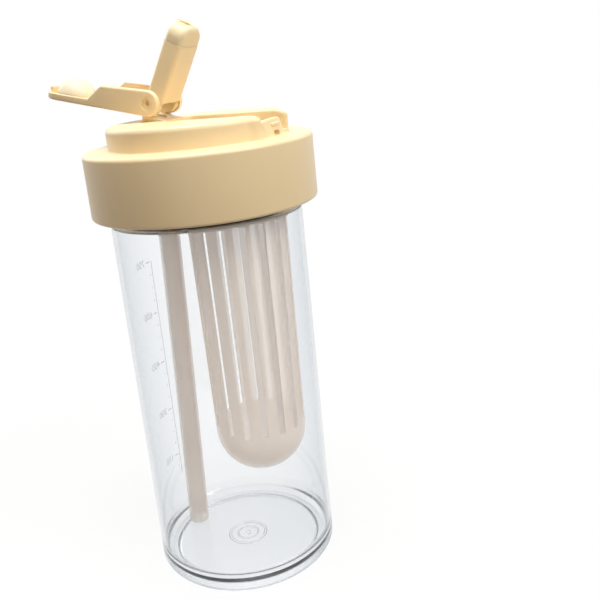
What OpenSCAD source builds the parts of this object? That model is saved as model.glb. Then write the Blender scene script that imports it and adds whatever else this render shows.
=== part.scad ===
// Straw water bottle with a screw lid, a fold-down drinking spout, a flip cover,
// a straw and a fruit infuser basket.
// Origin at the centre of the base, +Z up. The spout folds down towards +X, and the hinge pins lie along Y.

/* [Bottle] */
// Outside diameter of the clear body
body_od = 87; // [80:1:90]
// Wall thickness of the body
body_wall = 2; // [1.2:0.1:2.6]
// Height of the body up to the top of its shoulder
body_h = 172.7; // [150:0.1:260]
// Radius of the rounded edge under the body
base_round = 4; // [2:0.5:6]
// Radius of the rounded shoulder below the neck
shoulder_round = 3.8; // [3:0.1:5]
// Thickness of the bottom
floor_t = 2.8; // [2:0.1:4]
// How far the bottom is pushed up inside the ring that the bottle stands on
push_up = 2.2; // [1.5:0.1:3]
// Width of the flat ring that the bottle stands on
foot_ring_w = 3; // [2:0.5:5]
// Radius of the larger moulded ring under the bottom
mould_ring_r = 11.4; // [8:0.1:16]
// How far the threaded neck is drawn in from the body
neck_step = 2.5; // [2.3:0.1:3.4]
// Wall thickness of the neck
neck_wall = 2.5; // [1.8:0.1:3]
// Height of the neck above the shoulder
neck_h = 23.8; // [20:0.1:30]

/* [Lid] */
// How far the grip collar stands out from the body
collar_over = 7.5; // [6.6:0.1:12]
// Height of the grip collar
collar_h = 28.7; // [26:0.1:30]
// Wall thickness of the collar and of the lid's top
shell_t = 2.6; // [2:0.1:3]
// Radius of the collar's upper edge
collar_top_round = 2; // [1:0.1:2.4]
// Radius of the collar's lower edge
collar_low_round = 2.4; // [1:0.1:2.5]
// How far the raised deck's edge lies inside the collar's
deck_in = 11.5; // [11.2:0.1:11.7]
// Height of the raised deck above the collar
deck_h = 10.2; // [9:0.1:13]
// Radius of the deck's upper edge
deck_round = 2.2; // [1:0.1:2.4]
// Width of the trough that the folded spout lies in
trough_w = 23; // [22.6:0.1:26]
// Depth of the trough below the deck's top
trough_d = 8.2; // [8:0.1:8.6]
// Thickness of the trough's floor and side walls
trough_t = 2.2; // [1.6:0.1:2.4]
// Width of the latch wall that closes the trough's front end
latch_w = 19.6; // [16:0.1:20]
// Thickness of the latch wall
latch_t = 2.8; // [2.4:0.1:2.9]
// How far the latch wall's top lies below the deck's top
latch_drop = 2.8; // [2.6:0.1:4]
// Thickness of the liner's ring and plate
liner_t = 2.2; // [1.8:0.1:2.6]
// Thickness of the silicone ring that seals the neck
seal_t = 1.8; // [1.2:0.1:2.4]

/* [Spout and cover] */
// Distance of the hinge from the bottle's axis, as a share of the deck's radius
hinge_share = 0.443; // [0.436:0.001:0.45]
// Height of the hinge above the deck
hinge_rise = 8; // [7.8:0.1:8.6]
// Lean of the open spout from upright, in degrees
spout_lean = 30; // [20:1:40]
// Width of the spout along the hinge
spout_w = 15.6; // [14:0.1:15.8]
// Thickness of the spout
spout_t = 9.2; // [8.8:0.1:9.6]
// How far the middle of the spout's thickness lies in front of the hinge
spout_shift = 1.4; // [1.2:0.1:1.5]
// Radius of the spout's long edges
spout_round = 2; // [1:0.1:2.6]
// Length of the soft mouthpiece at the spout's tip
mouthpiece_len = 8.4; // [7.6:0.1:12]
// Width of the drinking channel
channel_w = 5.2; // [4:0.1:5.4]
// Thickness of the drinking channel
channel_t = 3.4; // [2.4:0.1:3.6]
// Radius of the barrel that the spout turns on
barrel_r = 5.8; // [5.6:0.1:5.8]
// Length of the barrel along the hinge
barrel_w = 10; // [9.6:0.1:10.6]
// Radius of the two hinge pins
pin_r = 1.5; // [1.2:0.1:1.8]
// Running clearance round the hinge pins
pin_play = 0.05; // [0.02:0.01:0.08]
// How far the closed flip cover reaches past the deck's edge
cover_over = 3.4; // [3.2:0.1:4]
// Width of the flip cover
cover_w = 20.8; // [20.6:0.1:21.4]
// Wall thickness of the flip cover
cover_t = 1.7; // [1.5:0.1:1.9]
// Upward tilt of the open cover, in degrees
cover_tilt = 12; // [4:1:16]
// Outer radius of the cover's hinge ears
ear_r = 5.7; // [5.5:0.1:5.9]
// Height of the lip at the cover's tip
lip_h = 3.2; // [2:0.1:3.4]
// Radius of the soft plug under the cover
plug_r = 8.8; // [7:0.1:8.8]
// Height of the soft plug
plug_h = 8.4; // [6:0.1:8.5]
// Distance of the soft plug from the cover's tip
plug_tip = 5.1; // [4.8:0.1:6]

/* [Straw] */
// Outside diameter of the straw
straw_od = 8.8; // [7:0.1:10]
// Wall thickness of the straw
straw_wall = 0.9; // [0.6:0.1:1.2]
// Distance of the straw's stem behind the hinge
stem_step = 4; // [3.5:0.1:4.5]
// Outward lean of the straw, in degrees
straw_lean = 2.4; // [0:0.1:2.6]
// Gap between the straw's end and the bottom
straw_foot_gap = 1; // [1:0.5:20]
// Outside diameter of the silicone sleeve that holds the straw
sleeve_od = 12.4; // [11.4:0.1:12.8]

/* [Infuser] */
// How much smaller the infuser's outer radius is than the inner radius of the neck
infuser_step = 16.2; // [16.2:0.1:18]
// Gap between the infuser and the neck on the side away from the straw
infuser_gap = 1.2; // [1.2:0.1:1.6]
// How much the infuser's radius shrinks from top to bottom
infuser_taper = 1.1; // [0:0.1:2]
// Wall thickness of the infuser
infuser_wall = 1.4; // [1:0.1:1.8]
// Height of the infuser's rounded bottom above the table
infuser_low_z = 46; // [20:1:80]
// Number of long slots round the infuser
slot_count = 16; // [8:2:20]
// Width of each slot
slot_w = 3; // [1.5:0.1:3.6]
// Height at which the slots start above the centre of the round bottom
slot_lift = 2; // [1:0.5:12]

/* [Fits] */
// Gap between pieces that move past each other
fit_gap = 0.3; // [0.2:0.05:0.4]
// Gap between pieces of the lid that are fixed together
seat_gap = 0.1; // [0.05:0.01:0.2]

/* [Hidden] */

// Overrun of every cut past the face that it opens
over = 1;
// Facets of round surfaces
fine = 96;
small = 48;

cream = [0.96, 0.91, 0.78];
milky = [0.93, 0.93, 0.95, 0.7];
clear = [0.86, 0.9, 0.93, 0.35];
soft = [0.97, 0.96, 0.92];

// Heights, from the table up
body_r = body_od / 2;
neck_r = body_r - neck_step;
neck_in_r = neck_r - neck_wall;
neck_top = body_h + neck_h;
plate_z = neck_top + fit_gap + seal_t;
plate_top = plate_z + liner_t;
collar_top = plate_top + shell_t;
collar_low = collar_top - collar_h;
collar_r = body_r + collar_over;
deck_r = collar_r - deck_in;
deck_top = collar_top + deck_h;
hinge_x = -deck_r * hinge_share;
stem_x = hinge_x - stem_step;
hinge_z = deck_top + hinge_rise;
floor_z = push_up + floor_t;

// Trough, from the hinge pedestal's front to the deck's edge
trough_gap = 0.9;
trough_z = deck_top - trough_d;
trough_rear_x = hinge_x + barrel_r + fit_gap + trough_gap;
trough_corner = 3;
trough_pan_z = trough_z - trough_t;
latch_top = deck_top - latch_drop;
latch_round = 2.2;
drain_w = 4.6;
drain_h = 2.4;

// Skirt of the shell and the liner inside it
skirt_in_r = collar_r - shell_t;
liner_ring_in_r = neck_r + fit_gap;
liner_ring_out_r = liner_ring_in_r + liner_t;
liner_low = collar_low + shell_t / 2;
deck_side_t = 2.4;

// Angle below level of the spout when it is folded down
fold_below = 12;

// Front and back faces of the spout, from the hinge axis, and the slope at its root
spout_front = spout_t / 2 + spout_shift;
spout_back = spout_t / 2 - spout_shift;
root_front_share = 0.83;
root_len_share = 0.42;
root_front = spout_front * root_front_share;
root_len = spout_front * root_len_share;

// Hinge pedestal and its cheeks
cheek_gap = 0.2;
cheek_w = spout_w / 2 - barrel_w / 2;
cheek_out = barrel_w / 2 + cheek_w;
cheek_step = 0.5;
cheek_r = ear_r - cheek_step;
pedestal_flare = 2.2;
seat_r = barrel_r + fit_gap;
valve_r = 4.2;
valve_play = 0.1;
stem_bore_r = 2.6;

// Straw stem under the deck
stem_r = 3.9;
stem_collar_r = 5.4;
stem_len = 10;
turn_r = 6.2;
turn_h = 4;
turn_t = 2.2;
turn_low = deck_top - shell_t - turn_h;
stem_low = plate_z - stem_len;
stem_grip = 7;
sleeve_top = stem_low + stem_grip;
sleeve_low = stem_low - stem_grip;
straw_r = straw_od / 2;
straw_top = stem_low - fit_gap;

// Infuser socket under the liner
socket_t = 2.2;
socket_len = 14;
socket_low = plate_z - socket_len;
infuser_r = neck_in_r - infuser_step;
infuser_off = infuser_step - infuser_gap;
infuser_low_r = infuser_r - infuser_taper;
socket_r = infuser_r - infuser_wall - fit_gap;
infuser_cap_z = infuser_low_z + infuser_low_r;
infuser_seal_t = 1.2;
infuser_top = plate_z - infuser_seal_t - seat_gap;
infuser_rim_r = infuser_r;
rim_z = collar_low - shell_t;
slot_high = rim_z - slot_w;
slot_low = infuser_cap_z + slot_lift;

// Vent through the trough's floor, which lets air in inside the infuser's socket
vent_r = 1;
vent_boss_r = 3;
vent_flange_r = 2.8;
vent_x = infuser_off - socket_r + socket_t + vent_flange_r + vent_r;
vent_flange_t = 1;
vent_nose = 5;

// A square corner with the rounding of radius r left out, to be cut from a profile.
// p is the corner, and sx and sz point from it into the body.
module corner(p, r, sx, sz) {
    translate(p) mirror([sx < 0 ? 1 : 0, 0]) mirror([0, sz < 0 ? 1 : 0])
        difference() {
            translate([-over, -over]) square(r + over);
            translate([r, r]) circle(r, $fn = small);
        }
}

// A rectangle with four equal rounded corners, centred on the origin
module round_rect(w, h, r) {
    square([w - 2 * r, h], center = true);
    square([w, h - 2 * r], center = true);
    for (sx = [-1, 1], sy = [-1, 1])
        translate([sx * (w / 2 - r), sy * (h / 2 - r)]) circle(r, $fn = small);
}

// A rectangle of the profile plane, given by its ends
module band(x0, x1, z0, z1) {
    translate([x0, z0]) square([x1 - x0, z1 - z0]);
}

// Extrusion of an X-Z profile along Y, from y0 to y1
module along_y(y0, y1) {
    translate([0, y1, 0]) rotate([90, 0, 0]) linear_extrude(y1 - y0) children();
}

// Places a shape drawn round the hinge axis
module at_hinge() {
    translate([hinge_x, 0, hinge_z]) children();
}

// Clear body

module body_outside() {
    difference() {
        band(0, body_r, 0, body_h);
        corner([body_r, 0], base_round, -1, 1);
        corner([body_r, body_h], shoulder_round, -1, -1);
    }
    band(0, neck_r, body_h - over, neck_top);
}

module body_inside() {
    inner_r = body_r - body_wall;
    difference() {
        band(0, inner_r, floor_z, body_h - body_wall);
        corner([inner_r, floor_z], base_round, -1, 1);
        corner([inner_r, body_h - body_wall], shoulder_round, -1, -1);
    }
    band(0, neck_r - neck_wall, floor_z + base_round, neck_top + over);
}

// Hollow under the bottom, with two moulded rings and the gate mark standing in it
module base_hollow() {
    hollow_r = body_r - base_round - foot_ring_w;
    ring_w = push_up / 2;
    ring_h = push_up / 3;
    difference() {
        polygon([[0, -over], [hollow_r, -over], [hollow_r, 0], [hollow_r - push_up, push_up], [0, push_up]]);
        band(mould_ring_r - ring_w, mould_ring_r, push_up - ring_h, push_up + over);
        band(mould_ring_r / 2, mould_ring_r / 2 + ring_w / 2, push_up - ring_h, push_up + over);
        band(0, ring_w, push_up - 2 * ring_h, push_up + over);
    }
}

module bottle_body() {
    color(clear) rotate_extrude($fn = fine) difference() {
        body_outside();
        body_inside();
        base_hollow();
    }
}

// Lid shell: grip collar, deck, trough, latch wall, hinge pedestal and straw stem in one moulding

module shell_outside() {
    difference() {
        band(0, collar_r, collar_low, collar_top);
        corner([collar_r, collar_top], collar_top_round, -1, -1);
        corner([collar_r, collar_low], collar_low_round, -1, 1);
    }
    difference() {
        band(0, deck_r, collar_top - over, deck_top);
        corner([deck_r, deck_top], deck_round, -1, -1);
    }
}

module shell_inside() {
    band(0, skirt_in_r, collar_low - over, plate_top);
    band(0, deck_r - deck_side_t, plate_top - over, deck_top - shell_t);
}

// Plan of the trough, grown by g on its sides and rear
module trough_plan(g) {
    x0 = trough_rear_x - g;
    w = trough_w / 2 + g;
    r = trough_corner + g;
    translate([x0 + r, -w]) square([collar_r - x0 - r, 2 * w]);
    translate([x0, r - w]) square([r, 2 * (w - r)]);
    for (s = [-1, 1]) translate([x0 + r, s * (w - r)]) circle(r, $fn = small);
}

module trough_pan() {
    intersection() {
        translate([0, 0, trough_pan_z]) linear_extrude(trough_d) trough_plan(trough_t);
        cylinder(r = deck_r - deck_side_t / 2, h = deck_top, $fn = fine);
    }
}

// Wall at the trough's front, with rounded upper corners and a drain slot at the floor
module latch_wall() {
    x_in = deck_r - latch_t;
    difference() {
        intersection() {
            translate([0, 0, trough_pan_z]) cylinder(r = deck_r, h = latch_top - trough_pan_z, $fn = fine);
            rotate([90, 0, 90]) linear_extrude(collar_r) difference() {
                band(-latch_w / 2, latch_w / 2, trough_pan_z, latch_top);
                corner([latch_w / 2, latch_top], latch_round, -1, -1);
                corner([-latch_w / 2, latch_top], latch_round, 1, -1);
            }
            translate([x_in, -latch_w, 0]) cube([collar_r, 2 * latch_w, deck_top]);
        }
        translate([x_in - over, -drain_w / 2, trough_z]) cube([latch_t + 2 * over, drain_w, drain_h]);
    }
}

// Room for the folded spout, in the pedestal's side view
module fold_room() {
    low = -spout_front - fit_gap;
    rotate(-fold_below)
        polygon([[0, -root_front - fit_gap], [root_len, low], [-2 * low, low], [-2 * low, seat_r], [0, seat_r]]);
}

// Side view of the pedestal round the hinge axis: round cheeks on a foot that flares into the deck.
// The folded spout's underside cuts its front shoulder.
module pedestal_side() {
    low = -hinge_rise - shell_t / 2;
    foot_z = -hinge_rise + pedestal_flare;
    circle(cheek_r, $fn = small);
    difference() {
        union() {
            band(-cheek_r, cheek_r, low, 0);
            band(-cheek_r - pedestal_flare, cheek_r + pedestal_flare, low, foot_z);
        }
        for (s = [-1, 1])
            translate([s * (cheek_r + pedestal_flare), foot_z]) circle(pedestal_flare, $fn = small);
        fold_room();
    }
}

module pedestal() {
    at_hinge() difference() {
        along_y(-cheek_out, cheek_out) pedestal_side();
        along_y(-barrel_w / 2 - cheek_gap, barrel_w / 2 + cheek_gap) {
            circle(seat_r, $fn = small);
            band(-seat_r, seat_r, 0, 2 * seat_r);
            fold_room();
        }
    }
}

// Plan that reaches from the stem to the hinge, with ends of radius r
module turn_plan(r) {
    translate([stem_x, -r]) square([hinge_x - stem_x, 2 * r]);
    for (x = [stem_x, hinge_x]) translate([x, 0]) circle(r, $fn = small);
}

// Stem that the sleeve is pushed over, and the thicker turn that leads from it to the hinge
module straw_stem() {
    translate([stem_x, 0, stem_low]) cylinder(r = stem_r, h = turn_low - stem_low, $fn = small);
    translate([stem_x, 0, plate_z]) cylinder(r = stem_collar_r, h = turn_low - plate_z, $fn = small);
    translate([0, 0, turn_low - turn_t]) linear_extrude(turn_h + turn_t + shell_t / 2) turn_plan(turn_r);
}

// Way of the drink through the shell: up the stem, across the turn, and up to the seal's seat
module drink_way() {
    mid_z = turn_low + turn_h / 2;
    translate([stem_x, 0, stem_low - over]) cylinder(r = stem_bore_r, h = mid_z - stem_low + over, $fn = small);
    translate([0, 0, turn_low]) linear_extrude(turn_h) turn_plan(stem_bore_r + fit_gap);
    translate([hinge_x, 0, mid_z]) cylinder(r = stem_bore_r, h = deck_top + over - mid_z, $fn = small);
    translate([hinge_x, 0, deck_top]) cylinder(r = valve_r + seat_gap, h = hinge_rise, $fn = small);
}

module lid_shell() {
    color(cream) difference() {
        union() {
            rotate_extrude($fn = fine) difference() {
                shell_outside();
                shell_inside();
            }
            trough_pan();
            pedestal();
            straw_stem();
            translate([vent_x, 0, plate_top]) cylinder(r = vent_boss_r, h = trough_z - plate_top, $fn = small);
        }
        difference() {
            translate([0, 0, trough_z]) linear_extrude(trough_d + over) trough_plan(0);
            latch_wall();
        }
        drink_way();
        at_hinge() rotate([90, 0, 0]) cylinder(r = pin_r + pin_play, h = 2 * cover_w, center = true, $fn = small);
        translate([vent_x, 0, plate_top - over]) cylinder(r = vent_r, h = deck_h + over, $fn = small);
    }
}

// Lid liner: threaded ring, its lower flange, the plate over the neck and the infuser's socket

module liner_profile() {
    band(liner_ring_in_r, liner_ring_out_r, liner_low, plate_top);
    band(liner_ring_in_r, skirt_in_r - seat_gap, liner_low, liner_low + liner_t);
    band(0, liner_ring_out_r, plate_z, plate_top);
}

module lid_liner() {
    color(cream) difference() {
        union() {
            rotate_extrude($fn = fine) liner_profile();
            translate([infuser_off, 0, socket_low]) cylinder(r = socket_r, h = plate_z - socket_low, $fn = fine);
        }
        translate([infuser_off, 0, socket_low - over])
            cylinder(r = socket_r - socket_t, h = plate_z - socket_low + over, $fn = fine);
        translate([stem_x, 0, plate_z - over])
            cylinder(r = stem_collar_r + seat_gap, h = liner_t + 2 * over, $fn = small);
        translate([vent_x, 0, plate_z - over]) cylinder(r = vent_r, h = liner_t + 2 * over, $fn = small);
        translate([vent_x, 0, plate_z - over])
            cylinder(r = vent_flange_r + seat_gap, h = vent_flange_t + over, $fn = small);
    }
}

module neck_seal() {
    color(soft) rotate_extrude($fn = fine)
        band(neck_r - neck_wall - fit_gap, neck_r, neck_top + fit_gap, plate_z);
}

// Silicone seat between the pedestal and the spout's barrel
module valve_seal() {
    color(soft) difference() {
        translate([hinge_x, 0, deck_top]) cylinder(r = valve_r, h = hinge_rise - barrel_r / 2, $fn = small);
        translate([hinge_x, 0, deck_top - over]) cylinder(r = stem_bore_r, h = 2 * hinge_rise, $fn = small);
        at_hinge() rotate([90, 0, 0]) cylinder(r = barrel_r + valve_play, h = spout_w, center = true, $fn = fine);
        at_hinge() along_y(-spout_w, spout_w) fold_room();
    }
}

// One-way valve that lets air in under the liner
module vent_valve() {
    color(soft) translate([vent_x, 0, plate_z]) difference() {
        union() {
            cylinder(r = vent_flange_r, h = vent_flange_t, $fn = small);
            translate([0, 0, -vent_nose]) cylinder(r1 = vent_r, r2 = vent_flange_r - vent_flange_t / 2,
                h = vent_nose + vent_flange_t / 2, $fn = small);
        }
        translate([0, 0, -vent_nose / 2]) cylinder(r = vent_r, h = vent_nose + vent_flange_t, $fn = small);
    }
}

// Hinge

pin_bite = 1.5;
pin_recess = 0.7;
pin_in = barrel_w / 2 - pin_bite;
pin_out = cover_w / 2 - pin_recess;
socket_in = pin_in - seat_gap;

module hinge_pin(s) {
    color(cream) at_hinge() rotate([s * -90, 0, 0])
        translate([0, 0, pin_in]) cylinder(r = pin_r, h = pin_out - pin_in, $fn = small);
}

module hinge_pin_near() {
    hinge_pin(-1);
}

module hinge_pin_far() {
    hinge_pin(1);
}

// Spout, drawn upright round the hinge axis with its front towards +X.
// The barrel's bore and the leaning channel meet in a wider ball at the hinge axis.

plug_gap = 0.5;
cover_len = deck_r - hinge_x + cover_over;
spout_len = cover_len - plug_tip - 2 * plug_r - plug_gap;
mouth_z = spout_len - mouthpiece_len;
ball_ease = 0.5;
tang_len = 4;
tang_t = 1;

module lean() {
    at_hinge() rotate([0, spout_lean, 0]) children();
}

module bar(z0, z1, inset) {
    translate([spout_shift, 0, z0]) linear_extrude(z1 - z0)
        round_rect(spout_t - 2 * inset, spout_w - 2 * inset, spout_round - inset / 2);
}

module channel() {
    r = channel_t / 2;
    linear_extrude(spout_len + over) {
        square([channel_t, channel_w - channel_t], center = true);
        for (s = [-1, 1]) translate([0, s * (channel_w / 2 - r)]) circle(r, $fn = small);
    }
}

module spout() {
    color(cream) difference() {
        union() {
            lean() difference() {
                union() {
                    bar(0, mouth_z, 0);
                    bar(mouth_z - over, mouth_z + tang_len, tang_t);
                }
                for (s = [-1, 1]) translate([0, s * (barrel_w / 2 + spout_w / 2), 0])
                    rotate([90, 0, 0]) cylinder(r = cheek_r + fit_gap, h = spout_w, center = true, $fn = small);
                along_y(-spout_w, spout_w)
                    polygon([[root_front, 0], [2 * spout_front - root_front, 2 * root_len],
                             [2 * spout_front, 2 * root_len], [2 * spout_front, -over], [root_front, -over]]);
            }
            lean() rotate([90, 0, 0]) rotate(90) cylinder(r = barrel_r, h = barrel_w, center = true, $fn = fine);
        }
        lean() channel();
        lean() sphere(channel_w / 2 + ball_ease, $fn = small);
        at_hinge() translate([0, 0, -barrel_r - over]) cylinder(r = channel_w / 2, h = barrel_r + over, $fn = small);
        at_hinge() for (s = [-1, 1]) rotate([s * 90, 0, 0])
            translate([0, 0, socket_in]) cylinder(r = pin_r + pin_play, h = spout_w, $fn = small);
    }
}

// Soft tip with an arched end, pushed over the tang at the top of the bar
module spout_mouthpiece() {
    arch = spout_w / 2;
    color(soft) lean() difference() {
        intersection() {
            bar(mouth_z, spout_len, 0);
            rotate([90, 0, 90]) linear_extrude(spout_w, center = true) {
                band(-arch, arch, mouth_z, spout_len - arch);
                translate([0, spout_len - arch]) circle(arch, $fn = fine);
            }
        }
        bar(mouth_z - over, mouth_z + tang_len + seat_gap, tang_t - seat_gap);
        channel();
    }
}

// Flip cover, drawn along +X from the hinge axis with its inner side up, then turned to its open place

cover_ease = 0.5;
cover_in = -spout_back - fit_gap - cover_ease;
cover_out = cover_in - cover_t;
ear_t = cover_w / 2 - cheek_out - fit_gap;
web_start = ear_r + cheek_r / 2;
wall_top_share = 0.42;
wall_low_share = 0.57;
wall_end_share = 0.8;
wall_top_len = cover_len * wall_top_share;
wall_low_len = cover_len * wall_low_share;
wall_end_h = ear_r * wall_end_share;
tip_r = 9.9;
lip_t = 1.6;
lip_w = 6;
rim_t = 1.2;
rim_h = 1.5;
plug_x = spout_len + plug_r + plug_gap;
plug_foot = 2;
plug_stem_r = 2;
plug_head_r = 3.2;
plug_head_t = 0.7;
dimple_share = 0.4;
dimple_lift_share = 0.8;

module open_cover() {
    at_hinge() rotate([0, cover_tilt, 0]) rotate([0, 0, 180]) children();
}

// Side wall with its hinge ear and slanted end
module cover_wall_side() {
    circle(ear_r, $fn = small);
    polygon([[0, -ear_r], [wall_low_len, cover_out], [wall_low_len, cover_in],
             [wall_top_len, wall_end_h], [0, ear_r]]);
}

// Plan of the cover's web with rounded corners at its tip, drawn in by inset at the tip and the sides
module cover_plan(inset) {
    w = cover_w / 2 - inset;
    r = tip_r - inset;
    x_end = cover_len - tip_r;
    translate([web_start, -w]) square([x_end - web_start, 2 * w]);
    translate([x_end - tip_r, r - w]) square([tip_r + r, 2 * (w - r)]);
    for (s = [-1, 1]) translate([x_end, s * (w - r)]) circle(r, $fn = fine);
}

// Lip that hooks over the outside of the latch wall
module cover_lip() {
    translate([0, 0, cover_out]) linear_extrude(cover_t + lip_h) intersection() {
        difference() {
            cover_plan(0);
            cover_plan(lip_t);
        }
        translate([cover_len - tip_r, -lip_w / 2]) square([2 * tip_r, lip_w]);
    }
}

// Low rim that runs round the tip from one side wall to the other
module cover_rim() {
    translate([0, 0, cover_out]) linear_extrude(cover_t + rim_h) intersection() {
        difference() {
            cover_plan(0);
            cover_plan(rim_t);
        }
        translate([wall_top_len, -cover_w]) square([cover_len, 2 * cover_w]);
    }
}

module flip_cover() {
    color(cream) open_cover() difference() {
        union() {
            for (s = [0, 1]) mirror([0, s, 0]) along_y(cheek_out + fit_gap, cover_w / 2) cover_wall_side();
            translate([0, 0, cover_out]) linear_extrude(cover_t) cover_plan(0);
            cover_lip();
            cover_rim();
        }
        rotate([90, 0, 0]) cylinder(r = pin_r + pin_play, h = 2 * cover_w, center = true, $fn = small);
        for (s = [-1, 1]) rotate([s * 90, 0, 0])
            translate([0, 0, pin_out + seat_gap]) cylinder(r = 2 * pin_r, h = cover_w, $fn = small);
        translate([plug_x, 0, cover_out - over])
            cylinder(r = plug_stem_r + seat_gap, h = cover_t + 2 * over, $fn = small);
        translate([plug_x, 0, cover_out - over])
            cylinder(r = plug_head_r + seat_gap, h = plug_head_t + over, $fn = small);
    }
}

// Soft dome that closes the mouth, held by its stem through the cover's web
module cover_plug() {
    cap_h = plug_h - plug_foot;
    cap_r = (plug_r * plug_r + cap_h * cap_h) / (2 * cap_h);
    dimple_r = plug_r * dimple_share;
    color(soft) open_cover() translate([plug_x, 0, cover_in]) difference() {
        union() {
            cylinder(r = plug_r, h = plug_foot, $fn = fine);
            intersection() {
                translate([0, 0, plug_h - cap_r]) sphere(cap_r, $fn = fine);
                translate([0, 0, plug_foot - seat_gap]) cylinder(r = plug_r, h = plug_h, $fn = fine);
            }
            translate([0, 0, -cover_t]) cylinder(r = plug_stem_r, h = cover_t + plug_foot / 2, $fn = small);
            translate([0, 0, -cover_t]) cylinder(r = plug_head_r, h = plug_head_t, $fn = small);
        }
        translate([0, 0, plug_h + dimple_r * dimple_lift_share]) rotate([90, 0, 0]) sphere(dimple_r, $fn = small);
    }
}

// Straw and the sleeve that joins it to the upright stem. Both lean outwards together.

module straw_place() {
    translate([stem_x, 0, stem_low]) rotate([0, straw_lean, 0]) translate([0, 0, -stem_low]) children();
}

module straw_sleeve() {
    color(soft) difference() {
        straw_place() translate([0, 0, sleeve_low])
            cylinder(r = sleeve_od / 2, h = sleeve_top - sleeve_low, $fn = small);
        translate([stem_x, 0, stem_low]) cylinder(r = stem_r, h = stem_grip + over, $fn = small);
        straw_place() translate([0, 0, sleeve_low - over])
            cylinder(r = straw_r + seat_gap, h = stem_grip + over, $fn = small);
        straw_place() translate([0, 0, sleeve_low + over])
            cylinder(r = stem_r - fit_gap, h = stem_grip, $fn = small);
    }
}

module straw() {
    low = floor_z + straw_foot_gap;
    color(milky) straw_place() difference() {
        translate([0, 0, low]) cylinder(r = straw_r, h = straw_top - low, $fn = fine);
        translate([0, 0, low - over]) cylinder(r = straw_r - straw_wall, h = straw_top - low + 2 * over, $fn = fine);
    }
}

// Infuser basket: plain rim over the liner's socket, slotted wall and round bottom

module infuser_half(inset) {
    intersection() {
        union() {
            polygon([[0, infuser_cap_z], [infuser_low_r - inset, infuser_cap_z],
                     [infuser_r - inset, rim_z], [0, rim_z]]);
            translate([0, infuser_cap_z]) circle(infuser_low_r - inset, $fn = fine);
        }
        band(0, infuser_r, 0, neck_top);
    }
}

module infuser_profile() {
    difference() {
        union() {
            infuser_half(0);
            band(0, infuser_rim_r, rim_z, infuser_top);
        }
        infuser_half(infuser_wall);
        band(0, infuser_r - infuser_wall, rim_z - over, rim_z + over);
        band(0, socket_r + fit_gap, socket_low - fit_gap, infuser_top + over);
        band(0, infuser_r - infuser_wall, rim_z, socket_low);
    }
}

// Cutter of one long slot with round ends, which crosses the wall on one side only
module slot() {
    r_in = infuser_low_r - infuser_wall - over;
    translate([r_in, 0, 0]) rotate([90, 0, 90]) linear_extrude(infuser_rim_r + over - r_in) {
        band(-slot_w / 2, slot_w / 2, slot_low + slot_w / 2, slot_high - slot_w / 2);
        for (z = [slot_low + slot_w / 2, slot_high - slot_w / 2]) translate([0, z]) circle(slot_w / 2, $fn = small);
    }
}

module infuser_basket() {
    color(milky) translate([infuser_off, 0, 0]) difference() {
        rotate_extrude($fn = fine) infuser_profile();
        for (i = [0 : slot_count - 1]) rotate((i + 0.5) * 360 / slot_count) slot();
    }
}

module infuser_seal() {
    color(soft) translate([infuser_off, 0, 0]) rotate_extrude($fn = fine)
        band(socket_r + seat_gap, infuser_rim_r, infuser_top + seat_gap / 2, plate_z);
}

bottle_body();
lid_shell();
lid_liner();
neck_seal();
valve_seal();
vent_valve();
hinge_pin_near();
hinge_pin_far();
spout();
spout_mouthpiece();
flip_cover();
cover_plug();
straw_sleeve();
straw();
infuser_basket();
infuser_seal();
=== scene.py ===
"""Looks of a straw water bottle with a screw lid, a fold-down spout, a flip cover and an infuser basket.

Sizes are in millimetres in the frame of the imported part, and every mesh is made in metres.
"""

import logging
import math
from dataclasses import dataclass, field
from enum import Enum
from typing import Iterable, Optional, Sequence, Union

import bmesh
import bpy
from mathutils import Matrix, Vector


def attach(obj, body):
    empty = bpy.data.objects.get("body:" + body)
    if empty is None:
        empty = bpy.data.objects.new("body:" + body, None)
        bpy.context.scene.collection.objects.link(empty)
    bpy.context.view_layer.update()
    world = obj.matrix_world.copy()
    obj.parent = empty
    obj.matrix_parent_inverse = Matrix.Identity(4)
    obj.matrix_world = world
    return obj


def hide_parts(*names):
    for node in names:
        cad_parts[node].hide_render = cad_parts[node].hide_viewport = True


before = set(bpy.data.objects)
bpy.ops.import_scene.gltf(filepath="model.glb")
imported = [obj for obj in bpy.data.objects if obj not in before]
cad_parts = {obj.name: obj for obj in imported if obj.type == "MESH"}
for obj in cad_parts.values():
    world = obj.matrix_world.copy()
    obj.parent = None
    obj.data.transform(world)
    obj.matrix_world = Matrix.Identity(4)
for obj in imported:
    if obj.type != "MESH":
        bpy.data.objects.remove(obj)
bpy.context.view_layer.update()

log = logging.getLogger("bottle")
MM = 0.001
HAIR = 0.01  # least step between two faces that would otherwise coincide
TINY = 1e-9  # a length or radius that counts as none
STRAIGHT = 0.02  # angle in radians within which a corner counts as straight
REACH_SHARE = 0.49  # most that a rounding takes of the side next to it
MITRE_SHARE = 0.35  # least divisor of a mitre, which holds sharp corners back
WHITE = (1.0, 1.0, 1.0)

Point = tuple[float, float]
Outline = list[Point]
Triple = tuple[float, float, float]
Ring = list[Triple]
Colour = Triple


class Body(Enum):
    """Moving bodies of the part."""

    BOTTLE = "bottle"
    LID = "lid"
    SPOUT = "spout"
    COVER = "cover"
    INFUSER = "infuser"


class Slot(Enum):
    """Names of four material slots."""

    CLEAR = "clear_plastic"
    CREAM = "cream_plastic"
    MILKY = "milky_plastic"
    SILICONE = "soft_silicone"


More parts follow.
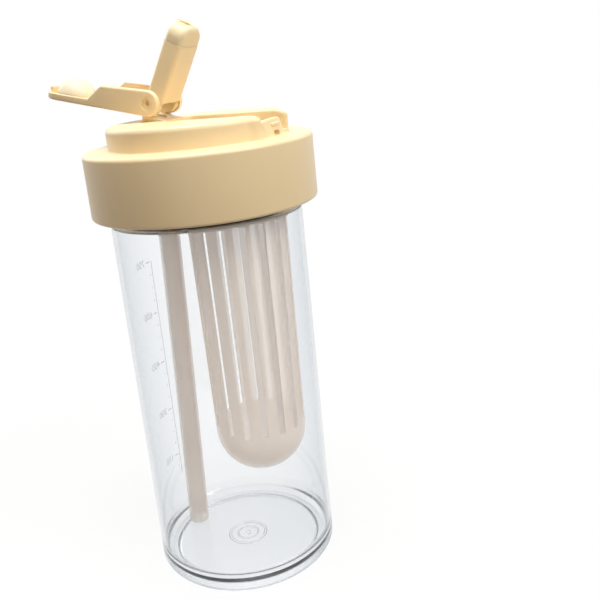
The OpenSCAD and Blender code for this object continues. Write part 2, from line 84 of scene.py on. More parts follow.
class Lay(Enum):
    """Plane that a flat outline is drawn in, and the direction that it is extruded in."""

    ALONG_Z = ((1, 0, 0), (0, 1, 0), (0, 0, 1))
    ALONG_Y = ((1, 0, 0), (0, 0, 1), (0, 1, 0))
    ALONG_X = ((0, 1, 0), (0, 0, 1), (1, 0, 0))

    def point(self, a: float, b: float, level: float) -> Triple:
        """Point with coordinates a and b in the plane, at a level along the extrusion."""
        u, v, w = self.value
        return tuple(a * u[i] + b * v[i] + level * w[i] for i in range(3))


class Fuse(Enum):
    """How one solid is combined with another."""

    ADD = "UNION"
    CUT = "DIFFERENCE"


# Outlines

def quarter(steps: int) -> list[float]:
    """Angles of a quarter turn, in radians."""
    return [math.pi / 2 * i / steps for i in range(steps + 1)]


def arc(centre: Point, radius: float, start: float, end: float, steps: int = 12) -> Outline:
    """Points on an arc.

    Args:
        centre: centre of the arc.
        radius: its radius.
        start: first angle in degrees.
        end: last angle in degrees.
        steps: number of chords.

    Returns:
        The points from start to end.
    """
    angles = (math.radians(start + (end - start) * i / steps) for i in range(steps + 1))
    return [(centre[0] + radius * math.cos(a), centre[1] + radius * math.sin(a)) for a in angles]


def rounded(corners: Sequence[Sequence[float]], steps: int = 6) -> Outline:
    """Closed outline with rounded corners.

    Args:
        corners: x, y and, where the corner is rounded, its radius.
        steps: chords of each rounding.

    Returns:
        The outline's points.
    """
    made: Outline = []
    count = len(corners)
    for i, corner in enumerate(corners):
        here = Vector(corner[:2])
        radius = corner[2] if len(corner) > 2 else 0
        before, after = Vector(corners[i - 1][:2]) - here, Vector(corners[(i + 1) % count][:2]) - here
        if radius <= 0 or before.length < TINY or after.length < TINY:
            made.append(tuple(here))
            continue
        half = before.angle(after) / 2
        if half < STRAIGHT or half > math.pi / 2 - STRAIGHT:
            made.append(tuple(here))
            continue
        reach = min(radius / math.tan(half), before.length * REACH_SHARE, after.length * REACH_SHARE)
        radius = reach * math.tan(half)
        first, last = here + before.normalized() * reach, here + after.normalized() * reach
        inward = (before.normalized() + after.normalized()).normalized()
        middle = here + inward * (radius / math.sin(half))
        start = math.atan2(first.y - middle.y, first.x - middle.x)
        end = math.atan2(last.y - middle.y, last.x - middle.x)
        sweep = (end - start + math.pi) % (2 * math.pi) - math.pi
        for k in range(steps + 1):
            a = start + sweep * k / steps
            made.append((middle.x + radius * math.cos(a), middle.y + radius * math.sin(a)))
    return made


def turns_left(outline: Outline) -> bool:
    """Whether a closed outline runs anticlockwise."""
    return sum(p[0] * q[1] - q[0] * p[1] for p, q in zip(outline, outline[1:] + outline[:1])) > 0


def inset(outline: Outline, depth: float) -> Outline:
    """Draws a closed anticlockwise outline in, with as many points as before.

    Args:
        outline: the outline.
        depth: how far it is drawn in; a negative depth lets it out.

    Returns:
        The new outline.
    """
    made: Outline = []
    count = len(outline)
    for i, point in enumerate(outline):
        here = Vector(point)
        back, ahead = here - Vector(outline[i - 1]), Vector(outline[(i + 1) % count]) - here
        if back.length < TINY:
            back = ahead
        if ahead.length < TINY:
            ahead = back
        before = Vector((-back.y, back.x)).normalized()
        after = Vector((-ahead.y, ahead.x)).normalized()
        shift = (before + after) * (depth / max(MITRE_SHARE, 1 + before.dot(after)))
        made.append((here.x + shift.x, here.y + shift.y))
    return made


def box_outline(width: float, height: float, radius: float, centre: Point = (0, 0),
                steps: int = 6) -> Outline:
    """Rectangle with equal rounded corners."""
    return rounded([(centre[0] + sx * width / 2, centre[1] + sy * height / 2, radius)
                    for sx, sy in ((-1, -1), (1, -1), (1, 1), (-1, 1))], steps)


def circle(radius: float, centre: Point = (0, 0), steps: int = 64) -> Outline:
    """Closed circle."""
    return arc(centre, radius, 0, 360, steps)[:-1]


# Meshes

def new_mesh_object(name: str, work: bmesh.types.BMesh, place: Optional[Matrix] = None) -> bpy.types.Object:
    """Turns a mesh drawn in millimetres into an object in metres.

    Args:
        name: the object's name.
        work: the mesh, which is freed.
        place: where the mesh goes, in millimetres.

    Returns:
        The linked object with its origin in the frame's origin.
    """
    bmesh.ops.recalc_face_normals(work, faces=work.faces)
    if place is not None:
        work.transform(place)
    work.transform(Matrix.Scale(MM, 4))
    mesh = bpy.data.meshes.new(name)
    work.to_mesh(mesh)
    work.free()
    thing = bpy.data.objects.new(name, mesh)
    bpy.context.scene.collection.objects.link(thing)
    return thing


def skin(name: str, rings: Sequence[Ring], place: Optional[Matrix] = None) -> bpy.types.Object:
    """Closed skin over rings that have the same number of points.

    Args:
        name: the object's name.
        rings: the rings in order; the first and the last are filled.
        place: where the mesh goes.

    Returns:
        The new object.
    """
    work = bmesh.new()
    rows = [[work.verts.new(p) for p in ring] for ring in rings]
    count = len(rows[0])
    for low, high in zip(rows, rows[1:]):
        for i in range(count):
            j = (i + 1) % count
            work.faces.new((low[i], low[j], high[j], high[i]))
    work.faces.new(rows[0][::-1])
    work.faces.new(rows[-1])
    return new_mesh_object(name, work, place)


def lathe(name: str, profile: Outline, segments: int = 128,
          place: Optional[Matrix] = None) -> bpy.types.Object:
    """Solid turned from a closed profile of radius and height round the Z axis.

    Args:
        name: the object's name.
        profile: closed profile; points on the axis have radius 0.
        segments: number of segments round the axis.
        place: where the mesh goes.

    Returns:
        The new object.
    """
    work = bmesh.new()
    angles = [2 * math.pi * i / segments for i in range(segments)]
    rows = []
    for radius, height in profile:
        if radius < TINY:
            rows.append([work.verts.new((0, 0, height))])
        else:
            ring = ((radius * math.cos(a), radius * math.sin(a), height) for a in angles)
            rows.append([work.verts.new(p) for p in ring])
    for low, high in zip(rows, rows[1:] + rows[:1]):
        if len(low) == 1 and len(high) == 1:
            continue
        for i in range(segments):
            j = (i + 1) % segments
            if len(low) == 1:
                work.faces.new((low[0], high[j], high[i]))
            elif len(high) == 1:
                work.faces.new((low[i], low[j], high[0]))
            else:
                work.faces.new((low[i], low[j], high[j], high[i]))
    return new_mesh_object(name, work, place)


def pillow(name: str, outline: Outline, low: float, high: float, edge: Union[float, Point] = 0.5,
           lay: Lay = Lay.ALONG_Z, place: Optional[Matrix] = None, steps: int = 5) -> bpy.types.Object:
    """Extruded outline whose two rims are rounded.

    Args:
        name: the object's name.
        outline: closed outline in the plane.
        low: first level of the extrusion.
        high: last level of the extrusion.
        edge: radius of both rims, or of the low and the high rim.
        lay: plane of the outline.
        place: where the mesh goes.
        steps: chords of each rim.

    Returns:
        The new object.
    """
    if not turns_left(outline):
        outline = outline[::-1]
    edges = (edge, edge) if isinstance(edge, (int, float)) else edge
    rims = [[(r * (1 - math.sin(a)), r * (1 - math.cos(a))) for a in reversed(quarter(steps))] if r
            else [(0.0, 0.0)] for r in edges]
    levels = [(low + rise, depth) for rise, depth in rims[0]]
    levels += [(high - rise, depth) for rise, depth in reversed(rims[1])]
    rings = [[lay.point(a, b, level) for a, b in (inset(outline, depth) if depth else outline)]
             for level, depth in levels]
    return skin(name, rings, place)


def pair(name: str, outline: Outline, inner: float, outer: float, edge: float,
         place: Matrix) -> list[bpy.types.Object]:
    """Two extruded outlines that mirror each other across the middle plane.

    Args:
        name: the objects' name.
        outline: closed outline in side view.
        inner: distance of their inner faces from the middle.
        outer: distance of their outer faces.
        edge: radius of the rims.
        place: where they go.

    Returns:
        The near and the far object.
    """
    return [pillow(name, outline, *sorted((side * inner, side * outer)), edge, Lay.ALONG_Y, place)
            for side in (-1, 1)]


def combine(thing: bpy.types.Object, others: Iterable[bpy.types.Object], fuse: Fuse) -> bpy.types.Object:
    """Combines solids and removes the ones that were added or cut away.

    Args:
        thing: the solid that stays.
        others: the solids that it is combined with.
        fuse: how they are combined.

    Returns:
        The same object with its new mesh.
    """
    others = list(others)
    for other in others:
        step = thing.modifiers.new("fuse", "BOOLEAN")
        step.operation = fuse.value
        step.solver = "EXACT"
        step.object = other
    bpy.context.view_layer.update()
    graph = bpy.context.evaluated_depsgraph_get()
    mesh = bpy.data.meshes.new_from_object(thing.evaluated_get(graph))
    thing.modifiers.clear()
    old, thing.data = thing.data, mesh
    mesh.name = thing.name
    bpy.data.meshes.remove(old)
    for other in others:
        bpy.data.objects.remove(other, do_unlink=True)
    return thing


def cut_flat(thing: bpy.types.Object, point: Vector, normal: Vector) -> None:
    """Removes what lies on one side of a plane and closes the cut.

    Args:
        thing: the solid that is cut.
        point: a point of the plane, in millimetres.
        normal: direction of the side that goes.
    """
    work = bmesh.new()
    work.from_mesh(thing.data)
    made = bmesh.ops.bisect_plane(work, geom=work.verts[:] + work.edges[:] + work.faces[:],
                                  plane_co=point * MM, plane_no=normal, clear_outer=True)
    edges = [e for e in made["geom_cut"] if isinstance(e, bmesh.types.BMEdge)]
    bmesh.ops.holes_fill(work, edges=edges, sides=0)
    work.to_mesh(thing.data)
    work.free()


def joined(name: str, things: Sequence[bpy.types.Object]) -> bpy.types.Object:
    """Joins meshes without changing them.

    Args:
        name: the new object's name.
        things: the objects that are joined, which are removed.

    Returns:
        The new object.
    """
    work = bmesh.new()
    for thing in things:
        work.from_mesh(thing.data)
        bpy.data.objects.remove(thing, do_unlink=True)
    mesh = bpy.data.meshes.new(name)
    work.to_mesh(mesh)
    work.free()
    made = bpy.data.objects.new(name, mesh)
    bpy.context.scene.collection.objects.link(made)
    return made


def smooth(thing: bpy.types.Object, crease: float = 32) -> bpy.types.Object:
    """Shades an object smooth.

    Args:
        thing: the object.
        crease: angle in degrees from which an edge stays sharp.

    Returns:
        The same object.
    """
    thing.data.shade_smooth()
    thing.data.set_sharp_from_angle(angle=math.radians(crease))
    return thing


def seat(thing: bpy.types.Object, body: Body, material: bpy.types.Material,
         nodes: Sequence[str] = ()) -> None:
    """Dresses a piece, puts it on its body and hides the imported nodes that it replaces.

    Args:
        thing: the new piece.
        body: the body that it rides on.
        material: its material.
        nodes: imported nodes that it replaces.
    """
    thing.data.materials.clear()
    thing.data.materials.append(material)
    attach(thing, body.value)
    if nodes:
        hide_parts(*nodes)
    log.info("%s rides on %s with %d faces", thing.name, body.value, len(thing.data.polygons))


def dress_node(node: str, material: bpy.types.Material) -> None:
    """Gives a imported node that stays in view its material.

    Args:
        node: the node's name.
        material: its material.
    """
    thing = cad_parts[node]
    thing.data.materials.clear()
    thing.data.materials.append(material)
    log.info("%s keeps its packed shape", node)


# Materials

class Val:
    """A socket of a material's nodes that takes arithmetic."""

    def __init__(self, tree: "Tree", socket: bpy.types.NodeSocket) -> None:
        """Wraps a socket of a tree."""
        self.tree = tree
        self.socket = socket

    def of(self, name: str) -> "Val":
        """Another output of the same node."""
        return Val(self.tree, self.socket.node.outputs[name])

    def _math(self, operation: str, first: "Value", second: "Value" = 0.0, clamp: bool = False) -> "Val":
        """One Math node."""
        return self.tree.node("ShaderNodeMath", {"operation": operation, "use_clamp": clamp},
                              {0: first, 1: second})

    def __add__(self, other: "Value") -> "Val":
        """Sum."""
        return self._math("ADD", self, other)

    __radd__ = __add__

    def __sub__(self, other: "Value") -> "Val":
        """Difference."""
        return self._math("SUBTRACT", self, other)

    def __rsub__(self, other: "Value") -> "Val":
        """Difference from a number."""
        return self._math("SUBTRACT", other, self)

    def __mul__(self, other: "Value") -> "Val":
        """Product."""
        return self._math("MULTIPLY", self, other)

    __rmul__ = __mul__

    def __truediv__(self, other: "Value") -> "Val":
        """Quotient."""
        return self._math("DIVIDE", self, other)

    def __rtruediv__(self, other: "Value") -> "Val":
        """Quotient of a number."""
        return self._math("DIVIDE", other, self)

    def __pow__(self, other: "Value") -> "Val":
        """Power."""
        return self._math("POWER", self, other)

    def __rpow__(self, other: "Value") -> "Val":
        """Power of a number."""
        return self._math("POWER", other, self)

    def clamped(self) -> "Val":
        """The value held between 0 and 1."""
        return self._math("ADD", self, 0.0, clamp=True)

    def over(self, low: float, high: float) -> "Val":
        """0 at the low value, 1 at the high value, held between them."""
        return ((self - low) / (high - low)).clamped()

    def around(self, swing: float) -> "Val":
        """A noise turned into a change of up to half the swing either way."""
        return (self - 0.5) * swing


Value = Union[Val, float, int, tuple, list]


class Tree:
    """Nodes of one material or of the world."""

    def __init__(self, owner: Union[bpy.types.Material, bpy.types.World],
                 output: str = "ShaderNodeOutputMaterial") -> None:
        """Empties the owner's nodes and adds its output.

        Args:
            owner: the material or the world.
            output: type of its output node.
        """
        owner.use_nodes = True
        self.owner = owner
        self.nodes = owner.node_tree.nodes
        self.links = owner.node_tree.links
        self.nodes.clear()
        self.output = self.nodes.new(output)

    def node(self, kind: str, settings: Optional[dict] = None, inputs: Optional[dict] = None,
             out: Union[int, str] = 0) -> Val:
        """Adds a node.

        Args:
            kind: the node's type.
            settings: its attributes, set first.
            inputs: values or links of its sockets, by name or number.
            out: the output that is returned.

        Returns:
            The wrapped output.
        """
        made = self.nodes.new(kind)
        for key, value in (settings or {}).items():
            setattr(made, key, value)
        for key, value in (inputs or {}).items():
            if isinstance(value, Val):
                self.links.new(value.socket, made.inputs[key])
            elif isinstance(value, (tuple, list)) and len(value) == 3 and made.inputs[key].type == "RGBA":
                made.inputs[key].default_value = (*value, 1.0)
            else:
                made.inputs[key].default_value = value
        return Val(self, made.outputs[out])

    def place(self) -> Val:
        """Coordinates in metres in the part's frame."""
        return self.node("ShaderNodeTexCoord", out="Object")

    def stretched(self, scale: Triple) -> Val:
        """Coordinates stretched along the three axes."""
        return self.node("ShaderNodeVectorMath", {"operation": "MULTIPLY"}, {0: self.place(), 1: scale})

    def blend(self, share: Value, first: Value, second: Value) -> Val:
        """Mix of two colours."""
        return self.node("ShaderNodeMix", {"data_type": "RGBA"}, {0: share, 6: first, 7: second}, 2)

    def bump(self, height: Value, depth: float, strength: float = 1.0, base: Optional[Val] = None) -> Val:
        """Normal of a height map.

        Args:
            height: height from 0 to 1.
            depth: how deep it is, in millimetres.
            strength: how strongly it shows.
            base: normal that it is laid over.

        Returns:
            The normal.
        """
        inputs: dict = {"Height": height, "Distance": depth * MM, "Strength": strength}
        if base is not None:
            inputs["Normal"] = base
        return self.node("ShaderNodeBump", None, inputs)

    def seen(self) -> Val:
        """1 on rays from the camera, also through clear plastic or off gloss, and 0 on the others."""
        path = self.node("ShaderNodeLightPath", out="Is Camera Ray")
        return (path + path.of("Is Transmission Ray") + path.of("Is Glossy Ray")).clamped()

    def finish(self, shader: Val, inside: Optional[Val] = None) -> bpy.types.ID:
        """Joins the shaders to the output.

        Args:
            shader: shader of the surface.
            inside: shader of what the surface holds.

        Returns:
            The material or the world.
        """
        self.links.new(shader.socket, self.output.inputs["Surface"])
        if inside is not None:
            self.links.new(inside.socket, self.output.inputs["Volume"])
        return self.owner


def tinted(colour: Colour, factor: float) -> Colour:
    """A colour made lighter or darker."""
    return tuple(min(1.0, c * factor) for c in colour)


@dataclass(frozen=True)
class Mottle:
    """A smooth noise: its features per metre, its detail, the levels it is spread between, its stretch."""

    per_metre: float
    detail: float = 3.0
    low: float = 0.0
    high: float = 1.0
    stretch: Optional[Triple] = None

    def on(self, tree: Tree) -> Val:
        """Adds the noise to a tree.

        Args:
            tree: the tree.

        Returns:
            The noise, from 0 to 1.
        """
        where = tree.stretched(self.stretch) if self.stretch else tree.place()
        value = tree.node("ShaderNodeTexNoise", None,
                          {"Vector": where, "Scale": self.per_metre, "Detail": self.detail}, "Fac")
        return value if (self.low, self.high) == (0.0, 1.0) else value.over(self.low, self.high)


@dataclass(frozen=True)
class Scatter:
    """How light spreads under a surface."""

    weight: float
    radius: Colour
    metres: float

    def sockets(self) -> dict:
        """Values of the shader's subsurface sockets."""
        return {"Subsurface Weight": self.weight, "Subsurface Radius": self.radius,
                "Subsurface Scale": self.metres}


@dataclass(frozen=True)
class CreamPlastic:
    """Satin moulded polypropylene in a warm cream, with flow clouds, specks, grain and faint sinks."""

    name: str = "cream moulded plastic"
    colour: Colour = (0.94, 0.755, 0.465)
    cloud_shades: Point = (0.975, 1.015)
    speck_shade: float = 0.9
    speck_share: float = 0.25
    roughness: float = 0.36
    flow_swing: float = 0.12
    grain_swing: float = 0.08
    cloud: Mottle = Mottle(22, 4, 0.35, 0.65)
    speck: Mottle = Mottle(900, 2, 0.62, 0.8)
    flow: Mottle = Mottle(60, stretch=(1, 1, 0.25))
    grain: Mottle = Mottle(5200, 2)
    sink: Mottle = Mottle(34, 2)
    grain_depth: float = 0.012
    grain_strength: float = 0.5
    sink_depth: float = 0.12
    sink_strength: float = 0.25
    ior: float = 1.49
    scatter: Scatter = Scatter(0.12, (1.0, 0.7, 0.4), 0.002)

    def material(self) -> bpy.types.Material:
        """Builds the material.

        Returns:
            The material.
        """
        t = Tree(bpy.data.materials.new(self.name))
        cloud, speck, flow = self.cloud.on(t), self.speck.on(t), self.flow.on(t)
        grain, sink = self.grain.on(t), self.sink.on(t)
        base = t.blend(cloud, *(tinted(self.colour, shade) for shade in self.cloud_shades))
        base = t.blend(speck * self.speck_share, base, tinted(self.colour, self.speck_shade))
        normal = t.bump(grain, self.grain_depth, self.grain_strength,
                        t.bump(sink, self.sink_depth, self.sink_strength))
        rough = self.roughness + flow.around(self.flow_swing) + grain.around(self.grain_swing)
        return t.finish(t.node("ShaderNodeBsdfPrincipled", None, {
            "Base Color": base, "Roughness": rough, "Normal": normal, "IOR": self.ior,
            **self.scatter.sockets()}))


@dataclass(frozen=True)
class ClearPlastic:
    """Clear copolyester with faint waviness, fine rubs and a hazy base, and painted shade that greys its
    edges where they turn edge-on.

    Light falls through it on what is inside, and a long way through it darkens.
    """

    name: str = "clear bottle plastic"
    colour: Colour = (0.98, 0.985, 0.99)
    # painted shade: grey blended into the base colour at grazing angles, for darker edges
    painted_edge_shade: Colour = (0.5, 0.57, 0.62)
    edge_power: float = 2.0
    shade: Colour = (0.9, 0.91, 0.92)
    depth_tint: Colour = (0.7, 0.73, 0.77)
    depth: float = 38.0
    roughness: float = 0.02
    rub_swing: float = 0.05
    rub: Mottle = Mottle(420, 4, 0.66, 0.78, (1, 1, 6))
    base_haze: float = 0.16
    base_from: float = 4.0
    base_to: float = 14.0
    wave_depth: float = 0.25
    wave_strength: float = 0.25
    wave: Mottle = Mottle(26, 2, stretch=(1, 1, 0.3))
    ior: float = 1.5

    def material(self) -> bpy.types.Material:
        """Builds the material.

        Returns:
            The material.
        """
        t = Tree(bpy.data.materials.new(self.name))
        wave, rub = self.wave.on(t), self.rub.on(t)
        height = t.node("ShaderNodeSeparateXYZ", None, {0: t.place()}, "Z")
        haze = (1 - height.over(self.base_from * MM, self.base_to * MM)) * self.base_haze
        facing = t.node("ShaderNodeLayerWeight", out="Facing")
        body = t.node("ShaderNodeBsdfPrincipled", None, {
            # painted shade: the facing angle greys the edges
            "Base Color": t.blend((facing ** self.edge_power).clamped(), self.colour, self.painted_edge_shade),
            "Roughness": self.roughness + rub * self.rub_swing + haze,
            "Normal": t.bump(wave, self.wave_depth, self.wave_strength),
            "IOR": self.ior, "Transmission Weight": 1.0})
        through = t.node("ShaderNodeBsdfTransparent", None, {"Color": self.shade})
        shadow = t.node("ShaderNodeLightPath", out="Is Shadow Ray")
        inside = t.node("ShaderNodeVolumeAbsorption", None, {"Color": self.depth_tint, "Density": self.depth})
        return t.finish(t.node("ShaderNodeMixShader", None, {0: shadow, 1: body, 2: through}), inside)


@dataclass(frozen=True)
class MilkyPlastic:
    """Thin milky polypropylene that lets light through, with draw lines along it."""

    name: str = "milky plastic"
    colour: Colour = (0.83, 0.71, 0.61)
    cloud_shades: Point = (0.97, 1.03)
    alpha: float = 0.45
    alpha_swing: float = 0.06
    roughness: float = 0.38
    draw_swing: float = 0.15
    cloud: Mottle = Mottle(40, 3, 0.3, 0.7)
    draw: Mottle = Mottle(240, stretch=(1, 1, 0.06))
    draw_depth: float = 0.05
    draw_strength: float = 0.4
    ior: float = 1.49
    scatter: Scatter = Scatter(0.3, (1.0, 0.95, 0.85), 0.003)

    def material(self) -> bpy.types.Material:
        """Builds the material.

        Returns:
            The material.
        """
        t = Tree(bpy.data.materials.new(self.name))
        cloud, draw = self.cloud.on(t), self.draw.on(t)
        return t.finish(t.node("ShaderNodeBsdfPrincipled", None, {
            "Base Color": t.blend(cloud, *(tinted(self.colour, shade) for shade in self.cloud_shades)),
            "Alpha": self.alpha + cloud.around(self.alpha_swing),
            "Roughness": self.roughness + draw.around(self.draw_swing),
            "Normal": t.bump(draw, self.draw_depth, self.draw_strength),
            "IOR": self.ior, **self.scatter.sockets()}))


@dataclass(frozen=True)
class Silicone:
    """Soft silicone rubber with a dry, slightly dusty skin."""

    name: str = "soft silicone"
    colour: Colour = (0.95, 0.805, 0.545)
    cloud_shades: Point = (0.97, 1.02)
    roughness: float = 0.48
    cloud: Mottle = Mottle(90, 3, 0.35, 0.65)
    dust: Mottle = Mottle(2600, 2)
    dust_swing: float = 0.15
    dust_depth: float = 0.012
    dust_strength: float = 0.5
    ior: float = 1.42
    scatter: Scatter = Scatter(0.25, (1.0, 0.8, 0.55), 0.003)

    def material(self) -> bpy.types.Material:
        """Builds the material.

        Returns:
            The material.
        """
        t = Tree(bpy.data.materials.new(self.name))
        cloud, dust = self.cloud.on(t), self.dust.on(t)
        return t.finish(t.node("ShaderNodeBsdfPrincipled", None, {
            "Base Color": t.blend(cloud, *(tinted(self.colour, shade) for shade in self.cloud_shades)),
            "Roughness": self.roughness + dust.around(self.dust_swing),
            "Normal": t.bump(dust, self.dust_depth, self.dust_strength),
            "IOR": self.ior, **self.scatter.sockets()}))


@dataclass(frozen=True)
class PrintInk:
    """Thin grey ink of the printed scale, worn a little."""

    name: str = "scale ink"
    colour: Colour = (0.42, 0.42, 0.44)
    worn_shade: float = 1.2
    alpha: float = 0.75
    worn_alpha: float = 0.25
    roughness: float = 0.5
    edge_swing: float = 0.2
    worn: Mottle = Mottle(1500, 3, 0.3, 0.75)
    edge: Mottle = Mottle(5000, 2)

    def material(self) -> bpy.types.Material:
        """Builds the material.

        Returns:
            The material.
        """
        t = Tree(bpy.data.materials.new(self.name))
        worn, edge = self.worn.on(t), self.edge.on(t)
        return t.finish(t.node("ShaderNodeBsdfPrincipled", None, {
            "Base Color": t.blend(worn, self.colour, tinted(self.colour, self.worn_shade)),
            "Alpha": (self.alpha - worn * self.worn_alpha).clamped(),
            "Roughness": self.roughness + edge.around(self.edge_swing)}))


PLUG_SILICONE = Silicone("pale plug silicone", (0.9, 0.79, 0.6), roughness=0.42)


@dataclass
class Finishes:
    """The materials of the whole bottle."""

    cream: bpy.types.Material = field(default_factory=lambda: CreamPlastic().material())
    clear: bpy.types.Material = field(default_factory=lambda: ClearPlastic().material())
    milky: bpy.types.Material = field(default_factory=lambda: MilkyPlastic().material())
    silicone: bpy.types.Material = field(default_factory=lambda: Silicone().material())
    plug: bpy.types.Material = field(default_factory=PLUG_SILICONE.material)
    ink: bpy.types.Material = field(default_factory=lambda: PrintInk().material())


# Places that several sub-assemblies share

@dataclass
class HingePlace:
    """Where the hinge is and how the spout and the cover stand on it."""

    x: float = -17.5
    z: float = 221.6
    spout_lean: float = 30.0
    cover_tilt: float = 12.0
    fold_below: float = 12.0
    pin_bore: float = 1.55
    bore_reach: float = 14.0

    def upright(self) -> Matrix:
        """Frame at the hinge axis."""
        return Matrix.Translation((self.x, 0, self.z))

    def spout(self) -> Matrix:
        """Frame of the spout: X to its front, Z along it."""
        return self.upright() @ Matrix.Rotation(math.radians(self.spout_lean), 4, "Y")

    def cover(self) -> Matrix:
        """Frame of the open cover: X to its tip, Z to its inner side."""
        tilt = Matrix.Rotation(math.radians(self.cover_tilt), 4, "Y")
        return self.upright() @ tilt @ Matrix.Rotation(math.pi, 4, "Z")

    def turned(self, point: Point) -> Point:
        """Point of the spout's side view, along it and to its front, as x and z once it is folded."""
        u, v, a = *point, math.radians(self.fold_below)
        return u * math.cos(a) + v * math.sin(a), v * math.cos(a) - u * math.sin(a)

    def bore(self, place: Matrix) -> bpy.types.Object:
        """Cutter of the bore that the pins run in, in one of the hinge's frames."""
        return pillow("pin bore", circle(self.pin_bore, steps=40), -self.bore_reach, self.bore_reach, 0,
                      Lay.ALONG_Y, place)


@dataclass
class StemPlace:
    """Where the stem hangs that the straw's sleeve is pushed over."""

    x: float = -21.5
    low: float = 188.6

    def frame(self) -> Matrix:
        """Frame on the stem's axis."""
        return Matrix.Translation((self.x, 0, 0))


# Sub-assemblies

@dataclass
class BottleBody:
    """Clear body with its pushed-up bottom, shoulder and neck."""

    radius: float = 43.5
    wall: float = 2.0
    height: float = 174.3
    base_round: float = 4.0
    floor_round: float = 7.0
    shoulder_round: float = 2.6
    floor_z: float = 5.0
    push_up: float = 2.2
    push_round: float = 1.5
    foot_ring: float = 3.0
    foot_edge: float = 0.6
    ring_r: float = 9.6
    ring_edge: float = 0.3
    neck_r: float = 41.0
    neck_wall: float = 2.5
    neck_top: float = 196.5
    lip_round: float = 0.8
    segments: int = 256
    crease: float = 50.0

    def underside(self) -> Outline:
        """Pushed-up underside with a button and two low rings, and the wall above the base.

        Returns:
            The profile from the middle outwards.
        """
        push, ring_w, ring_h = self.push_up, self.push_up / 2, self.push_up / 3
        hollow = self.radius - self.base_round - self.foot_ring
        low, edge = push - ring_h, self.ring_edge
        under = [(0, push - 2 * ring_h), (ring_w, push - 2 * ring_h, edge), (ring_w, push, edge)]
        for r0, r1 in ((self.ring_r / 2, (self.ring_r + ring_w) / 2), (self.ring_r - ring_w, self.ring_r)):
            under += [(r0, push, edge), (r0, low, edge), (r1, low, edge), (r1, push, edge)]
        under += [(hollow - push, push, self.push_round), (hollow, 0, self.foot_edge),
                  (self.radius, 0, self.base_round), (self.radius, self.height / 2)]
        return rounded(under, 8)[:-1]

    def shoulder(self, radius: float, height: float, neck: float) -> Outline:
        """Rounded shoulder between the wall and the neck.

        Args:
            radius: radius of the wall's face.
            height: height of the shoulder's top.
            neck: radius of the neck's face.

        Returns:
            The arc from the wall to the neck.
        """
        centre = (radius - self.shoulder_round, height - self.shoulder_round)
        meet = math.degrees(math.acos((neck - centre[0]) / self.shoulder_round))
        return arc(centre, self.shoulder_round, 0, meet, 14)

    def profile(self) -> Outline:
        """Profile of the wall.

        Returns:
            The closed profile, from the middle of the underside outwards and back inside.
        """
        inner, neck_in = self.radius - self.wall, self.neck_r - self.neck_wall
        shoulder = self.shoulder(self.radius, self.height, self.neck_r)
        lip = rounded([shoulder[-1], (self.neck_r, self.neck_top, self.lip_round),
                       (neck_in, self.neck_top, self.lip_round), (neck_in, self.height)], 6)[1:-1]
        inside = self.shoulder(inner, self.height - self.wall, neck_in)[::-1]
        floor = rounded([(inner, self.height / 2), (inner, self.floor_z, self.floor_round),
                         (0, self.floor_z)], 14)[1:]
        return self.underside() + shoulder + lip + inside + floor

    def build(self, finishes: Finishes) -> None:
        """Builds the clear body."""
        body = smooth(lathe("clear_body", self.profile(), self.segments), self.crease)
        seat(body, Body.BOTTLE, finishes.clear, ["bottle_body"])


